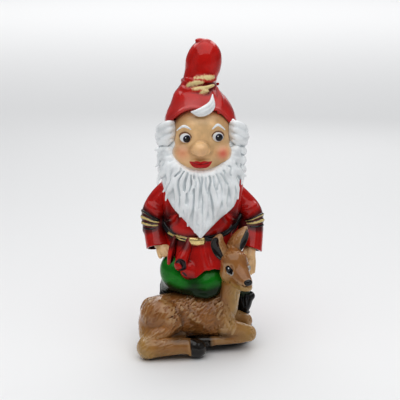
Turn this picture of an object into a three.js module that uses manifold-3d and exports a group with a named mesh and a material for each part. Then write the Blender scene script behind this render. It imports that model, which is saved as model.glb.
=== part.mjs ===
// A garden gnome squatting behind a lying fawn, on a low black ground.
// It is a hollow plastic figure: thin-walled mouldings that plug into one another and are
// glued along their paint lines, closed underneath by a plate with a push-in bung.
// Millimetres, +Z up, the figure faces -Y. The origin is on the ground under the middle of the figure.
import * as THREE from "three";
import { mergeVertices } from "three/addons/utils/BufferGeometryUtils.js";
import Module from "manifold-3d";

const wasm = await Module();
wasm.setup();
const { Vector2, Vector3 } = THREE;

// Driving dimensions.
const HEIGHT = 440; // ground to the top of the hat
const WALL = 3.2; // wall of a moulding
const GAP = 0.35; // glue gap between two mouldings
const CENTRE = 3; // x of the gnome's own centreline
const RIM = { z: 317, rise: 0.62 }; // the hat's rim at the ears, and how it rises to the front
const WAIST = { z: 163, y: -45, rise: 0.25 }; // the belt's middle at the front, and how it rises to the back
const BELT = { height: 11, thickness: 2.6 };
const BUCKLE = { x: -5, width: 22, height: 11, thickness: 5 };
const GROUND = { left: -78, right: 78, front: -42, back: 74, round: 40, top: 11 };
const PLATE = { thickness: 4, inset: 5 }; // the closing plate under the ground
const BUNG = { x: 0, y: 22, plug: 13, flange: 17, flangeThickness: 1.6, depth: 12, wall: 2, play: 0.3, recess: 0.6 };

// ---- Shapes -------------------------------------------------------------------------------

// An ellipsoid: its centre, its half sizes, and turns about X, Y and Z in degrees.
function blob(centre, size, turn = [0, 0, 0], sides = 10) {
  const geometry = new THREE.SphereGeometry(1, sides, Math.round(sides * 0.6));
  const euler = new THREE.Euler(...turn.map(THREE.MathUtils.degToRad));
  geometry.rotateX(Math.PI / 2).scale(...size);
  geometry.applyMatrix4(new THREE.Matrix4().makeRotationFromEuler(euler));
  return geometry.translate(...centre);
}

// The value at a share of the way through a list of evenly spaced values.
function between(values, share) {
  const at = share * (values.length - 1);
  const low = Math.min(Math.floor(at), values.length - 2);
  return THREE.MathUtils.lerp(values[low], values[low + 1], at - low);
}

// A round-ended limb along a smooth curve, whose radius runs through the given values.
function limb(points, radii, { sides = 9, steps = 4, cap = 2 } = {}) {
  const curve = new THREE.CatmullRomCurve3(points.map((point) => new Vector3(...point)));
  const frames = curve.computeFrenetFrames(steps, false);
  const geometry = new THREE.CapsuleGeometry(1, steps, cap, sides, steps);
  const position = geometry.getAttribute("position");
  const vertex = new Vector3();
  for (let i = 0; i < position.count; i++) {
    vertex.fromBufferAttribute(position, i);
    const along = THREE.MathUtils.clamp(vertex.y + steps / 2, 0, steps);
    const beyond = vertex.y + steps / 2 - along;
    const row = Math.round(along);
    const radius = between(radii, along / steps);
    const moved = curve.getPointAt(along / steps)
      .addScaledVector(frames.tangents[row], beyond * radius)
      .addScaledVector(frames.normals[row], vertex.x * radius)
      .addScaledVector(frames.binormals[row], -vertex.z * radius);
    position.setXYZ(i, moved.x, moved.y, moved.z);
  }
  return geometry;
}

// A stack of level ellipses, lowest first: [z, centre x, centre y, half width, half depth], and for
// cloth the share of its width by which the ellipse ripples, in the given number of folds.
function loft(sections, sides = 18, folds = 0) {
  const profile = [new Vector2(0, 0), ...sections.map((_, row) => new Vector2(1, row))];
  profile.push(new Vector2(0, sections.length - 1));
  const geometry = new THREE.LatheGeometry(profile, sides);
  const position = geometry.getAttribute("position");
  for (let i = 0; i < position.count; i++) {
    const [z, x, y, width, depth, ripple = 0] = sections[Math.round(position.getY(i))];
    const swell = 1 + ripple * Math.cos(folds * Math.atan2(position.getX(i), position.getZ(i)));
    position.setXYZ(i, x + position.getX(i) * width * swell, y - position.getZ(i) * depth * swell, z);
  }
  return geometry;
}

// A prism on a level outline, from one height to another.
function prism(outline, low, high) {
  const options = { depth: high - low, bevelEnabled: false, curveSegments: 6 };
  return new THREE.ExtrudeGeometry(outline, options).translate(0, 0, low);
}

// All that lies above a plane that passes z at the given y and rises towards +Y.
function above(z, y, rise) {
  const size = 600;
  const block = new THREE.BoxGeometry(size, size, size).translate(0, 0, size / 2);
  return block.rotateX(Math.atan(rise)).translate(0, y, z);
}

// An upright disc on the bung's axis.
function disc(radius, low, high) {
  const geometry = new THREE.CylinderGeometry(radius, radius, high - low, 24);
  return geometry.rotateX(Math.PI / 2).translate(BUNG.x, BUNG.y, (low + high) / 2);
}

// ---- Joining and cutting ------------------------------------------------------------------

// A closed geometry as a solid, with its skin moved outwards by grow.
function solidOf(geometry, grow) {
  const bare = geometry.clone();
  bare.deleteAttribute("normal");
  bare.deleteAttribute("uv");
  const merged = mergeVertices(bare, 1e-3);
  merged.computeVertexNormals();
  const normal = merged.getAttribute("normal");
  const points = Float32Array.from(merged.getAttribute("position").array, (v, i) => v + grow * normal.array[i]);
  const corners = [];
  for (let i = 0; i < merged.index.count; i += 3) {
    const [a, b, c] = merged.index.array.slice(i, i + 3);
    if (a !== b && b !== c && c !== a) corners.push(a, b, c);
  }
  const mesh = new wasm.Mesh({ numProp: 3, vertProperties: points, triVerts: new Uint32Array(corners) });
  return new wasm.Manifold(mesh);
}

// Geometries melted into one form. A form gives its solid, with the skin moved outwards by grow.
const melt = (...parts) => (grow = 0) =>
  parts.map((part) => solidOf(part, grow)).reduce((all, next) => all.add(next));

// A solid with room cut out of it for each neighbour and its glue gap.
const less = (solid, ...neighbours) =>
  neighbours.reduce((left, neighbour) => left.subtract(neighbour(GAP)), solid);

const largest = (solid) =>
  solid.decompose().reduce((best, next) => (next.volume() > best.volume() ? next : best));

// Adds a solid to a group as a named mesh that sits at the middle of its own box.
function place(group, name, solid, material) {
  const { numProp, numVert, vertProperties, triVerts } = largest(solid).getMesh();
  const points = new Float32Array(numVert * 3);
  for (let i = 0; i < numVert; i++) points.set(vertProperties.subarray(i * numProp, i * numProp + 3), i * 3);
  const geometry = new THREE.BufferGeometry();
  geometry.setAttribute("position", new THREE.BufferAttribute(points, 3));
  geometry.setIndex(new THREE.BufferAttribute(triVerts, 1));
  geometry.computeBoundingBox();
  const middle = geometry.boundingBox.getCenter(new Vector3()).round();
  geometry.translate(-middle.x, -middle.y, -middle.z);
  geometry.computeVertexNormals();
  const mesh = new THREE.Mesh(geometry, material);
  mesh.name = name;
  mesh.position.copy(middle);
  group.add(mesh);
}

// ---- Paints -------------------------------------------------------------------------------

const paint = (color, roughness, metalness = 0) =>
  new THREE.MeshStandardMaterial({ color, roughness, metalness });
const RED = paint(0xb01510, 0.22);
const WHITE = paint(0xe6e9ea, 0.45);
const SKIN = paint(0xdcae78, 0.4);
const GREEN = paint(0x14701c, 0.3);
const BLACK = paint(0x0b0b0b, 0.2);
const GOLD = paint(0xb08a48, 0.35, 0.6);
const BROWN = paint(0x8a5628, 0.3);
const LINING = paint(0x2a2622, 0.5);
const RUBBER = paint(0x1c1c1c, 0.7);

// ---- The gnome's forms --------------------------------------------------------------------

const NECK = [[CENTRE, 8, 272], [CENTRE, 10, 232]];
const HEAD = melt(
  blob([CENTRE, 3, 301], [44, 43, 44], [0, 0, 0], 16),
  blob([CENTRE - 25, -24, 286], [19, 19, 19]),
  blob([CENTRE + 25, -24, 286], [19, 19, 19]),
  blob([CENTRE, -26, 268], [22, 17, 15]),
  blob([CENTRE, -46, 294.5], [12.6, 15, 11.5]),
  blob([CENTRE, 3, 294], [58, 6, 11]),
  limb(NECK, [23, 22], { steps: 2 }),
);
const HEAD_HOLLOW = melt(
  blob([CENTRE, 3, 301], [40, 39, 40]),
  limb([NECK[0], [CENTRE, 10, 200]], [18, 18], { steps: 2 }),
);
// The face shows through a window in the beard.
const FACE_WINDOW = melt(blob([CENTRE, -50, 292], [42, 42, 25], [0, 0, 0], 14));

function hair(side) {
  const x = (out) => CENTRE + side * out;
  return melt(
    blob([x(55), 2, 313], [11, 22, 14]),
    limb([[x(40), -24, 320], [x(54), -16, 316], [x(56), 2, 304]], [7, 10, 9]),
    limb([[x(44), 30, 312], [x(50), 16, 300], [x(46), 2, 292]], [12, 11, 8]),
  );
}
const HAIR_RIGHT = hair(-1);
const HAIR_LEFT = hair(1);

const BEARD = melt(
  loft([
    [171, 1, -59, 2.5, 2.5],
    [180, 1, -56, 11, 8],
    [195, 0, -50, 24, 14],
    [212, 3, -43, 40, 20],
    [232, 1, -34, 52, 27],
    [252, 1, -24, 60, 33],
    [268, 1, -15, 61.5, 37],
    [284, 2, -8, 60, 36],
    [298, 3, -4, 57, 30],
    [308, 3, 0, 52, 20],
  ]),
);

const HAT_SECTIONS = [
  [282, 3, 8, 48, 50],
  [300, 3, 8, 50, 51],
  [317, 2, 7, 50.5, 49.5],
  [327, 0.5, 7, 50.5, 48],
  [338, 0.6, 8, 48, 46],
  [348, 0.5, 10, 43.2, 42],
  [357, -1, 12, 38.5, 37],
  [364, -3, 14, 33.6, 33],
  [374, -2.6, 17, 26, 27],
  [384, 0, 18, 24.3, 24.5],
  [396, 3.7, 20, 25.3, 24.3],
  [410, 5.3, 20, 25.7, 24],
  [422, 6.5, 20, 22.5, 21.5],
  [432, 7, 20, 16.5, 16],
  [438, 7.5, 20, 8.5, 8],
  [HEIGHT, 7.5, 20, 3, 3],
];
const HAT_SHELL = melt(loft(HAT_SECTIONS));
const HAT_HOLLOW = melt(
  loft(HAT_SECTIONS.slice(0, -3).map(([z, x, y, width, depth]) => [z, x, y, width - WALL, depth - WALL]), 12),
);
const ABOVE_RIM = melt(above(RIM.z, 0, -RIM.rise));
const HAT = (grow = 0) => HAT_SHELL(grow).intersect(ABOVE_RIM(grow));
const FORELOCK = melt(
  limb([[-12, -33, 341], [1, -38, 340], [17, -32, 348], [17, -21, 366]], [3.5, 8.5, 8.5, 4], { steps: 6 }),
);

const CHEST_SECTIONS = [
  [150, 2, -2, 50, 43],
  [166, 2, -2, 51, 44],
  [182, 2, 0, 54, 44],
  [202, CENTRE, 5, 58, 43],
  [222, CENTRE, 10, 61, 40],
  [240, CENTRE, 13, 58, 35],
  [252, CENTRE, 14, 44, 29],
  [260, CENTRE, 13, 30, 22],
];
const SKIRT_SECTIONS = [
  [40, CENTRE, 18, 57, 58, 0.05],
  [60, CENTRE, 15, 57, 58, 0.05],
  [84, CENTRE, 8, 56, 62, 0.05],
  [106, CENTRE, 0, 54, 63, 0.045],
  [128, CENTRE, -3, 51, 57, 0.03],
  [150, CENTRE, -3, 48, 48, 0.01],
  [166, CENTRE, -2, 47, 44],
  [200, CENTRE, 0, 49, 44],
];
const SKIRT_FOLDS = 9;
const HEM = { z: 110, y: -60, rise: -0.52 }; // the skirt is lower behind than in front
const shrunk = (sections) => sections.map(([z, x, y, width, depth]) => [z, x, y, width - WALL, depth - WALL]);
const CHEST = melt(loft(CHEST_SECTIONS));
const SKIRT_CLOTH = melt(loft(SKIRT_SECTIONS, 4 * SKIRT_FOLDS, SKIRT_FOLDS));
const ABOVE_HEM = melt(above(HEM.z, HEM.y, HEM.rise));
const SKIRT = (grow = 0) => SKIRT_CLOTH(grow).intersect(ABOVE_HEM(grow));
const SKIRT_HOLLOW = melt(
  loft(SKIRT_SECTIONS.map(([z, x, y, width, depth, ripple = 0]) => [
    z - 1, x, y, width * (1 - ripple) - WALL, depth * (1 - ripple) - WALL,
  ]), 16),
);
const CHEST_HOLLOW = melt(loft(shrunk(CHEST_SECTIONS.slice(0, -1)), 14));

const belowPlane = (offset) => melt(above(WAIST.z + offset, WAIST.y, WAIST.rise));
const ABOVE_WAIST = belowPlane(0);
const ABOVE_BAND = belowPlane(BELT.height / 2);
const ABOVE_BAND_FOOT = belowPlane(-BELT.height / 2);
const BELT_RING = (grow = 0) => {
  const girth = BELT.thickness + grow;
  return CHEST(girth).add(SKIRT(girth)).intersect(ABOVE_BAND_FOOT(grow)).subtract(ABOVE_BAND(-grow));
};

const SLEEVE_RIGHT = melt(
  limb([[-38, 14, 232], [-59, 12, 208], [-67, 7, 182], [-64, -6, 160], [-60, -15, 150]], [17, 17, 17, 15.5, 13],
    { sides: 11, steps: 6 }),
);
const SLEEVE_LEFT = melt(
  limb([[43, 14, 229], [63, 12, 206], [73, 7, 183], [74, -6, 160], [72, -15, 150]], [17, 17, 17.5, 15, 13],
    { sides: 11, steps: 6 }),
);

// The part of a sleeve's skin, a little thicker, that lies within a tilted slab.
function armband(sleeve, middle, height, tilt) {
  const slab = melt(new THREE.BoxGeometry(60, 60, height).rotateY(THREE.MathUtils.degToRad(tilt)).translate(...middle));
  return (grow = 0) => sleeve(BELT.thickness + grow).intersect(slab(grow));
}
const BAND_RIGHT = armband(SLEEVE_RIGHT, [-68, 7, 186], 18, 14);
const BAND_LEFT = armband(SLEEVE_LEFT, [73, 7, 183], 14, -10);

const HAND_RIGHT = melt(
  limb([[-61, -12, 158], [-57, -23, 146], [-51, -34, 138]], [8, 9.5, 9]),
  limb([[-52, -34, 140], [-42, -44, 134]], [7.5, 5], { steps: 2 }),
);
const HAND_LEFT = melt(
  limb([[73, -10, 158], [72, -20, 144], [71, -30, 134]], [7.5, 9, 9.5]),
  limb([[71, -30, 136], [73, -38, 122], [71, -42, 113]], [8.5, 7, 5]),
);

const THIGH_RIGHT = [[-18, 18, 110], [-26, -4, 113], [-31, -29, 112]];
const THIGH_LEFT = [[22, 18, 110], [27, -4, 110], [27, -32, 106]];
const THIGH_RADII = [27, 26, 24];
const TROUSERS = melt(
  limb(THIGH_RIGHT, THIGH_RADII),
  limb([[-33, -28, 106], [-42, -8, 84], [-44, -2, 66]], [20, 14, 9]),
  limb(THIGH_LEFT, THIGH_RADII),
  limb([[30, -26, 100], [56, -14, 84], [66, -11, 62]], [18, 13, 9]),
  blob([CENTRE, 16, 108], [44, 34, 34]),
  blob([-8, -34, 99], [36, 25, 21]),
);
const TROUSERS_HOLLOW = melt(
  limb(THIGH_RIGHT, THIGH_RADII.map((radius) => radius - WALL), { sides: 8, steps: 2 }),
  limb(THIGH_LEFT, THIGH_RADII.map((radius) => radius - WALL), { sides: 8, steps: 2 }),
  blob([CENTRE, 16, 108], [40, 30, 30]),
  limb([[CENTRE, 10, 120], [CENTRE, 8, 190]], [26, 30], { steps: 2 }),
  limb([[CENTRE, 16, 90], [CENTRE, 16, 50]], [26, 26], { steps: 2 }),
);
const BOOT_RIGHT = melt(
  limb([[-44, -2, 80], [-46, 2, 50], [-48, 4, 20]], [14, 12, 12]),
  limb([[-48, 8, 17], [-52, -4, 15]], [12, 10], { steps: 2 }),
);
const BOOT_LEFT = melt(
  limb([[66, -13, 69], [64, -7, 44], [62, 6, 20]], [12.5, 9, 12]),
  limb([[63, 8, 17], [64, -2, 15]], [12, 10], { steps: 2 }),
);

// ---- The fawn's forms ---------------------------------------------------------------------

const BACK = [[-53, -37, 46], [-10, -35, 50], [19, -37, 47]];
const BACK_RADII = [32.5, 33.5, 30];
const FAWN_BODY = melt(
  limb(BACK, BACK_RADII, { sides: 14, steps: 4, cap: 3 }),
  blob([-58, -50, 40], [31, 25, 37], [0, 20, 0], 12),
  blob([30, -42, 54], [19, 21, 31], [0, -6, 0]),
);
const FAWN_BODY_HOLLOW = melt(
  limb(BACK, BACK_RADII.map((radius) => radius - WALL)),
  blob([-10, -36, 6], [58, 24, 22]),
);
const HIND_LEG = melt(
  limb([[-28, -58, 27], [-50, -67, 26], [-72, -80, 17]], [9, 13, 14.5]),
  limb([[-72, -83, 15.5], [-48, -85, 18], [-26, -84, 18], [-4, -81, 14]], [15, 13, 12, 12.8]),
);
const FORELEG_NEAR = melt(
  limb([[36, -54, 37], [54, -51, 31], [69, -46, 24.5]], [15, 12, 11.5]),
  limb([[69, -47, 22.5], [46, -55, 18.5], [22, -60, 17.5], [1, -61, 17]], [11, 8, 7, 8]),
);
const FORELEG_FAR = melt(
  limb([[38, -24, 42], [54, -22, 38], [66, -22, 34.5]], [14, 12, 10]),
  limb([[66, -21, 33], [64, -14, 14]], [10, 9], { steps: 2 }),
);
const FAWN_HEAD = melt(
  limb([[36, -40, 60], [42, -44, 88], [47, -51, 118]], [18, 16, 17]),
  blob([50, -58, 131], [21.5, 24, 24]),
  limb([[53, -67, 126], [60, -81, 116], [66, -89, 112]], [17, 12, 9]),
);
const EAR_RIGHT = melt(limb([[37, -57, 141], [27, -59, 154], [27, -57, 169]], [7, 10, 5]));
const EAR_LEFT = melt(limb([[48, -45, 149], [56, -43, 163], [64, -41, 177]], [10, 11, 4]));
const TAIL = melt(limb([[-68, -18, 62], [-78, -13, 54], [-80, -12, 38]], [8, 8, 5]));

// ---- The base's forms ---------------------------------------------------------------------

// The level outline of the ground, a rounded oblong.
function groundOutline(inset) {
  const round = GROUND.round - inset;
  const [left, right] = [GROUND.left + inset + round, GROUND.right - inset - round];
  const [front, back] = [GROUND.front + inset + round, GROUND.back - inset - round];
  return new THREE.Shape()
    .absarc(right, back, round, 0, Math.PI / 2)
    .absarc(left, back, round, Math.PI / 2, Math.PI)
    .absarc(left, front, round, Math.PI, 1.5 * Math.PI)
    .absarc(right, front, round, 1.5 * Math.PI, 2 * Math.PI);
}
const SEAT = [
  [PLATE.thickness + GAP, CENTRE, 24, 54, 46],
  [30, CENTRE, 22, 50, 42],
  [60, CENTRE, 20, 44, 36],
  [84, CENTRE, 18, 32, 26],
];
const GROUND_BLOCK = melt(prism(groundOutline(0), PLATE.thickness + GAP, GROUND.top), loft(SEAT, 14));
const GROUND_HOLLOW = melt(prism(groundOutline(12), 0, GROUND.top - WALL), loft(shrunk(SEAT.slice(0, -1)), 10));
const UNDER_GROUND = melt(prism(groundOutline(-40), -60, PLATE.thickness + GAP));

// ---- Mouldings ----------------------------------------------------------------------------

const gnome = new THREE.Group();
const fawn = new THREE.Group();
const base = new THREE.Group();

function buildHead() {
  place(gnome, "head", HEAD().subtract(HEAD_HOLLOW()), SKIN);
  place(gnome, "hair_right", less(HAIR_RIGHT(), HEAD, HAT), WHITE);
  place(gnome, "hair_left", less(HAIR_LEFT(), HEAD, HAT), WHITE);
  const beard = BEARD().subtract(FACE_WINDOW());
  place(gnome, "beard", less(beard, HEAD, CHEST, HAT, SLEEVE_LEFT, SLEEVE_RIGHT, HAIR_LEFT, HAIR_RIGHT), WHITE);
  place(gnome, "hat", less(HAT().subtract(HAT_HOLLOW()), HEAD), RED);
  place(gnome, "forelock", less(FORELOCK(), HAT, HEAD), WHITE);
}

function buildTunic() {
  place(gnome, "tunic", less(CHEST().subtract(CHEST_HOLLOW()).intersect(ABOVE_WAIST(-GAP)), HEAD), RED);
  const skirt = SKIRT().subtract(SKIRT_HOLLOW()).subtract(ABOVE_WAIST(GAP));
  place(gnome, "tunic_skirt", less(skirt, TROUSERS, BOOT_LEFT, BOOT_RIGHT, FAWN_BODY, FAWN_HEAD, GROUND_BLOCK), RED);
}

function buildBelt() {
  place(gnome, "belt", less(BELT_RING(), CHEST, SKIRT, SLEEVE_LEFT, SLEEVE_RIGHT, BAND_LEFT, BAND_RIGHT), BLACK);
  const outline = new THREE.Shape()
    .moveTo(-BUCKLE.width / 2, 0)
    .lineTo(BUCKLE.width / 2, 0)
    .lineTo(BUCKLE.width / 2, BUCKLE.height)
    .lineTo(-BUCKLE.width / 2, BUCKLE.height);
  const bevel = { depth: BUCKLE.thickness, bevelSize: 1, bevelThickness: 1, bevelSegments: 1 };
  const plate = new THREE.ExtrudeGeometry(outline, bevel).rotateX(Math.PI / 2);
  const buckle = melt(plate.translate(BUCKLE.x, WAIST.y - 1, WAIST.z - BUCKLE.height / 2));
  place(gnome, "belt_buckle", less(buckle(), BELT_RING, CHEST, SKIRT), GOLD);
}

function buildArm(word, sleeve, band, hand) {
  place(gnome, "sleeve_" + word, less(sleeve(), CHEST, SKIRT, hand, TROUSERS), RED);
  place(gnome, "armband_" + word, less(band(), sleeve, CHEST, SKIRT), GOLD);
  place(gnome, "hand_" + word, less(hand(), TROUSERS, FAWN_HEAD, SKIRT, CHEST), SKIN);
}

function buildLegs() {
  const trousers = TROUSERS().subtract(TROUSERS_HOLLOW());
  place(gnome, "trousers", less(trousers, FAWN_BODY, FAWN_HEAD, GROUND_BLOCK), GREEN);
  const neighbours = [TROUSERS, FAWN_BODY, FORELEG_FAR, FAWN_HEAD, HIND_LEG, TAIL, UNDER_GROUND];
  place(gnome, "boot_right", less(BOOT_RIGHT(), ...neighbours), BLACK);
  place(gnome, "boot_left", less(BOOT_LEFT(), ...neighbours), BLACK);
}

function buildFawn() {
  place(fawn, "fawn_body", less(FAWN_BODY().subtract(FAWN_BODY_HOLLOW()), FAWN_HEAD, UNDER_GROUND), BROWN);
  place(fawn, "fawn_head", FAWN_HEAD(), BROWN);
  place(fawn, "fawn_hind_leg", less(HIND_LEG(), FAWN_BODY), BROWN);
  place(fawn, "fawn_foreleg_near", less(FORELEG_NEAR(), FAWN_BODY, HIND_LEG), BROWN);
  place(fawn, "fawn_foreleg_far", less(FORELEG_FAR(), FAWN_BODY, FAWN_HEAD), BROWN);
  place(fawn, "fawn_ear_right", less(EAR_RIGHT(), FAWN_HEAD, SKIRT, TROUSERS), BROWN);
  place(fawn, "fawn_ear_left", less(EAR_LEFT(), FAWN_HEAD, SLEEVE_LEFT, HAND_LEFT, SKIRT), BROWN);
  place(fawn, "fawn_tail", less(TAIL(), FAWN_BODY, HIND_LEG), BROWN);
}

function buildBase() {
  const ground = GROUND_BLOCK().subtract(GROUND_HOLLOW());
  place(base, "ground", less(ground, FAWN_BODY, HIND_LEG, FORELEG_NEAR, FORELEG_FAR, FAWN_HEAD, BOOT_LEFT,
    BOOT_RIGHT, TAIL), BLACK);
  const seat = BUNG.recess + BUNG.flangeThickness + BUNG.play;
  const opening = melt(disc(BUNG.flange + BUNG.play, -1, seat), disc(BUNG.plug + BUNG.play, -1, PLATE.thickness + 1));
  const plate = melt(prism(groundOutline(PLATE.inset), 0, PLATE.thickness));
  place(base, "closing_plate", less(plate().subtract(opening()), HIND_LEG, FORELEG_NEAR), LINING);
  const flangeTop = BUNG.recess + BUNG.flangeThickness;
  const bung = melt(disc(BUNG.flange, BUNG.recess, flangeTop), disc(BUNG.plug, BUNG.recess, BUNG.depth));
  const cup = melt(disc(BUNG.plug - BUNG.wall, flangeTop, BUNG.depth + 1));
  place(base, "filler_bung", bung().subtract(cup()), RUBBER);
}

buildHead();
buildTunic();
buildBelt();
buildArm("right", SLEEVE_RIGHT, BAND_RIGHT, HAND_RIGHT);
buildArm("left", SLEEVE_LEFT, BAND_LEFT, HAND_LEFT);
buildLegs();
buildFawn();
buildBase();

// The whole figure stands with its middle on the origin.
const figure = new THREE.Group();
figure.add(gnome, fawn, base);
const middle = new THREE.Box3().setFromObject(figure).getCenter(new Vector3());
figure.position.set(-middle.x, -middle.y, 0);
export default figure;
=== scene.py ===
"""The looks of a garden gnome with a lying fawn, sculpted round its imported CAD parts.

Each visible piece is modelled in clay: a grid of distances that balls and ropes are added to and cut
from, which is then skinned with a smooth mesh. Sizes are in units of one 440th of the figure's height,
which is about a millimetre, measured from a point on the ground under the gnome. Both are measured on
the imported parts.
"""

import math

import bpy
import numpy as np
from mathutils import Euler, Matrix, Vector


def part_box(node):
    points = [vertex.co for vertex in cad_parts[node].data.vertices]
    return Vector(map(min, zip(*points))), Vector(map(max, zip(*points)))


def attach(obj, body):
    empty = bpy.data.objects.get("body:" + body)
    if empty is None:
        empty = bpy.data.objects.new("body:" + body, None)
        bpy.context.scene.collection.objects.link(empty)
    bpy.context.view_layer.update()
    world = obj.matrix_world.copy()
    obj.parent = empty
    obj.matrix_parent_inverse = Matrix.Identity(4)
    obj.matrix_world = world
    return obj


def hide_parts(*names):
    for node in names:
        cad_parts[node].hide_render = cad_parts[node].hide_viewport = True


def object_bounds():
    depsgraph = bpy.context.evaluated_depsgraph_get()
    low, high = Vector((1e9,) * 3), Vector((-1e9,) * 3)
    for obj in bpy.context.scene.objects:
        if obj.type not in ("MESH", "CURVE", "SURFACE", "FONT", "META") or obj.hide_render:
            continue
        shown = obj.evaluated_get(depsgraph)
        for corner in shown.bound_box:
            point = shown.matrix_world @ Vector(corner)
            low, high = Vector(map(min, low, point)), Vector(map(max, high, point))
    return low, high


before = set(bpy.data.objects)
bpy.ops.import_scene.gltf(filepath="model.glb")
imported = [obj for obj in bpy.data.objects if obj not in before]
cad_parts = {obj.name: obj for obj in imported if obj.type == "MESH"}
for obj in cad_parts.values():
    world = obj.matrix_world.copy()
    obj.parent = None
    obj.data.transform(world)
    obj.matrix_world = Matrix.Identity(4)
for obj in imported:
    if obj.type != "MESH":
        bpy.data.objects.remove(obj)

# ---- Driving dimensions --------------------------------------------------------------------

REST_LOW, REST_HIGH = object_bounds()
FIGURE_HEIGHT = 440  # in units
UNIT = (REST_HIGH.z - REST_LOW.z) / FIGURE_HEIGHT
PLATE_LOW, PLATE_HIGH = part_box("closing_plate")
PLATE_MIDDLE_Y = 16  # the closing plate's middle lies this far behind the sculptor's own origin
ORIGIN = (
    (PLATE_LOW.x + PLATE_HIGH.x) / 2,
    (PLATE_LOW.y + PLATE_HIGH.y) / 2 - PLATE_MIDDLE_Y * UNIT,
    REST_LOW.z,
)
CENTRE = 3  # x of the gnome's own centreline
FAR = 40.0  # the distance kept where no clay is near
COARSE = 1.0
MERGE_REACH = 8  # a shape changes the clay this far outside its own box
ROPE_REACH = 6  # a rope's distances are worked out this far outside its radius
BORDER = 3  # grid steps kept free round the clay
RANDOM = np.random.default_rng(7)

# ---- Clay ----------------------------------------------------------------------------------


def smooth_path(points, per_span=5):
    """A Catmull-Rom curve through rows of numbers, with per_span steps between two rows."""
    rows = np.array(points, float)
    padded = np.vstack([2 * rows[0] - rows[1], rows, 2 * rows[-1] - rows[-2]])
    steps = np.linspace(0, 1, per_span, endpoint=False)[:, None]
    spans = []
    for before, start, end, after in zip(padded, padded[1:], padded[2:], padded[3:]):
        straight = 2 * start + (end - before) * steps
        curved = (2 * before - 5 * start + 4 * end - after) * steps**2
        twisted = (3 * start - before - 3 * end + after) * steps**3
        spans.append((straight + curved + twisted) / 2)
    return np.vstack([*spans, rows[-1:]])


def smooth_between(values, low, high):
    """0 below low, 1 above high, and a smooth rise between. low may be the larger."""
    share = np.clip((values - low) / (high - low), 0, 1)
    return share * share * (3 - 2 * share)


def soft_min(a, b, soft):
    """The smaller of two distances, with the crease between them filled over a width of soft."""
    if soft <= 0:
        return np.minimum(a, b)
    near = np.clip(soft - np.abs(a - b), 0, None) / soft
    return np.minimum(a, b) - near * near * soft / 4


def span(axis, low, high):
    """The part of a sorted axis that covers low to high."""
    first = max(int(np.searchsorted(axis, low)) - 1, 0)
    last = min(int(np.searchsorted(axis, high)) + 1, len(axis))
    return slice(first, max(last, first))


def ball(centre, size, turn=(0, 0, 0)):
    """An ellipsoid with those half sizes, turned about X, Y and Z in degrees."""
    centre, size = np.array(centre, np.float32), np.array(size, np.float32)
    turned = np.array(Euler([math.radians(angle) for angle in turn]).to_matrix(), np.float32)
    reach = np.sqrt(turned**2 @ size**2)

    def distance(x, y, z):
        offset = (x[:, None, None] - centre[0], y[None, :, None] - centre[1], z[None, None, :] - centre[2])
        flat = steep = 0
        for column, half in zip(turned.T, size):
            along = column[0] * offset[0] + column[1] * offset[1] + column[2] * offset[2]
            flat = flat + (along / half) ** 2
            steep = steep + (along / half**2) ** 2
        return np.sqrt(flat) * (np.sqrt(flat) - 1) / np.sqrt(steep + 1e-9)

    return centre - reach, centre + reach, distance


def rope(points, per_span=5):
    """A round rope along a smooth curve through rows of x, y, z and radius."""
    rows = smooth_path(points, per_span).astype(np.float32)
    radii = rows[:, 3:]
    low, high = (rows[:, :3] - radii).min(0), (rows[:, :3] + radii).max(0)

    def distance(x, y, z):
        field = np.full((len(x), len(y), len(z)), FAR, np.float32)
        for start, end in zip(rows, rows[1:]):
            around = max(start[3], end[3]) + ROPE_REACH
            corner, other = np.minimum(start, end) - around, np.maximum(start, end) + around
            window = tuple(span(axis, corner[i], other[i]) for i, axis in enumerate((x, y, z)))
            dx = x[window[0]][:, None, None] - start[0]
            dy = y[window[1]][None, :, None] - start[1]
            dz = z[window[2]][None, None, :] - start[2]
            way = end - start
            length = max(float(way[:3] @ way[:3]), 1e-6)
            share = np.clip((dx * way[0] + dy * way[1] + dz * way[2]) / length, 0, 1)
            off = (dx - share * way[0]) ** 2 + (dy - share * way[1]) ** 2 + (dz - share * way[2]) ** 2
            field[window] = np.minimum(field[window], np.sqrt(off) - start[3] - share * way[3])
        return field

    return low, high, distance


def stack(rows):
    """A solid of level ellipses through rows of z, centre x, centre y, half width and half depth."""
    rows = smooth_path(rows, 8)
    reach = rows[:, 3:].max(0)
    low = np.array([rows[:, 1].min() - reach[0], rows[:, 2].min() - reach[1], rows[0, 0]])
    high = np.array([rows[:, 1].max() + reach[0], rows[:, 2].max() + reach[1], rows[-1, 0]])

    def distance(x, y, z):
        level = [np.interp(z, rows[:, 0], rows[:, i]).astype(np.float32) for i in range(1, 5)]
        middle_x, middle_y, width, depth = (row[None, None, :] for row in level)
        across = (x[:, None, None] - middle_x) / width
        along = (y[None, :, None] - middle_y) / depth
        side = (np.sqrt(across**2 + along**2) - 1) * np.minimum(width, depth)
        ends = np.maximum(rows[0, 0] - z, z - rows[-1, 0])[None, None, :]
        return np.maximum(side, ends)

    return low, high, distance


def half_space(point, normal):
    """All that lies on the side of a plane that its normal points away from."""
    normal = np.array(normal, float) / np.linalg.norm(normal)
    far = np.full(3, 1e4)

    def distance(x, y, z):
        along = (x - point[0])[:, None, None] * normal[0] + (y - point[1])[None, :, None] * normal[1]
        return (along + (z - point[2])[None, None, :] * normal[2]).astype(np.float32)

    return -far, far, distance


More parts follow.
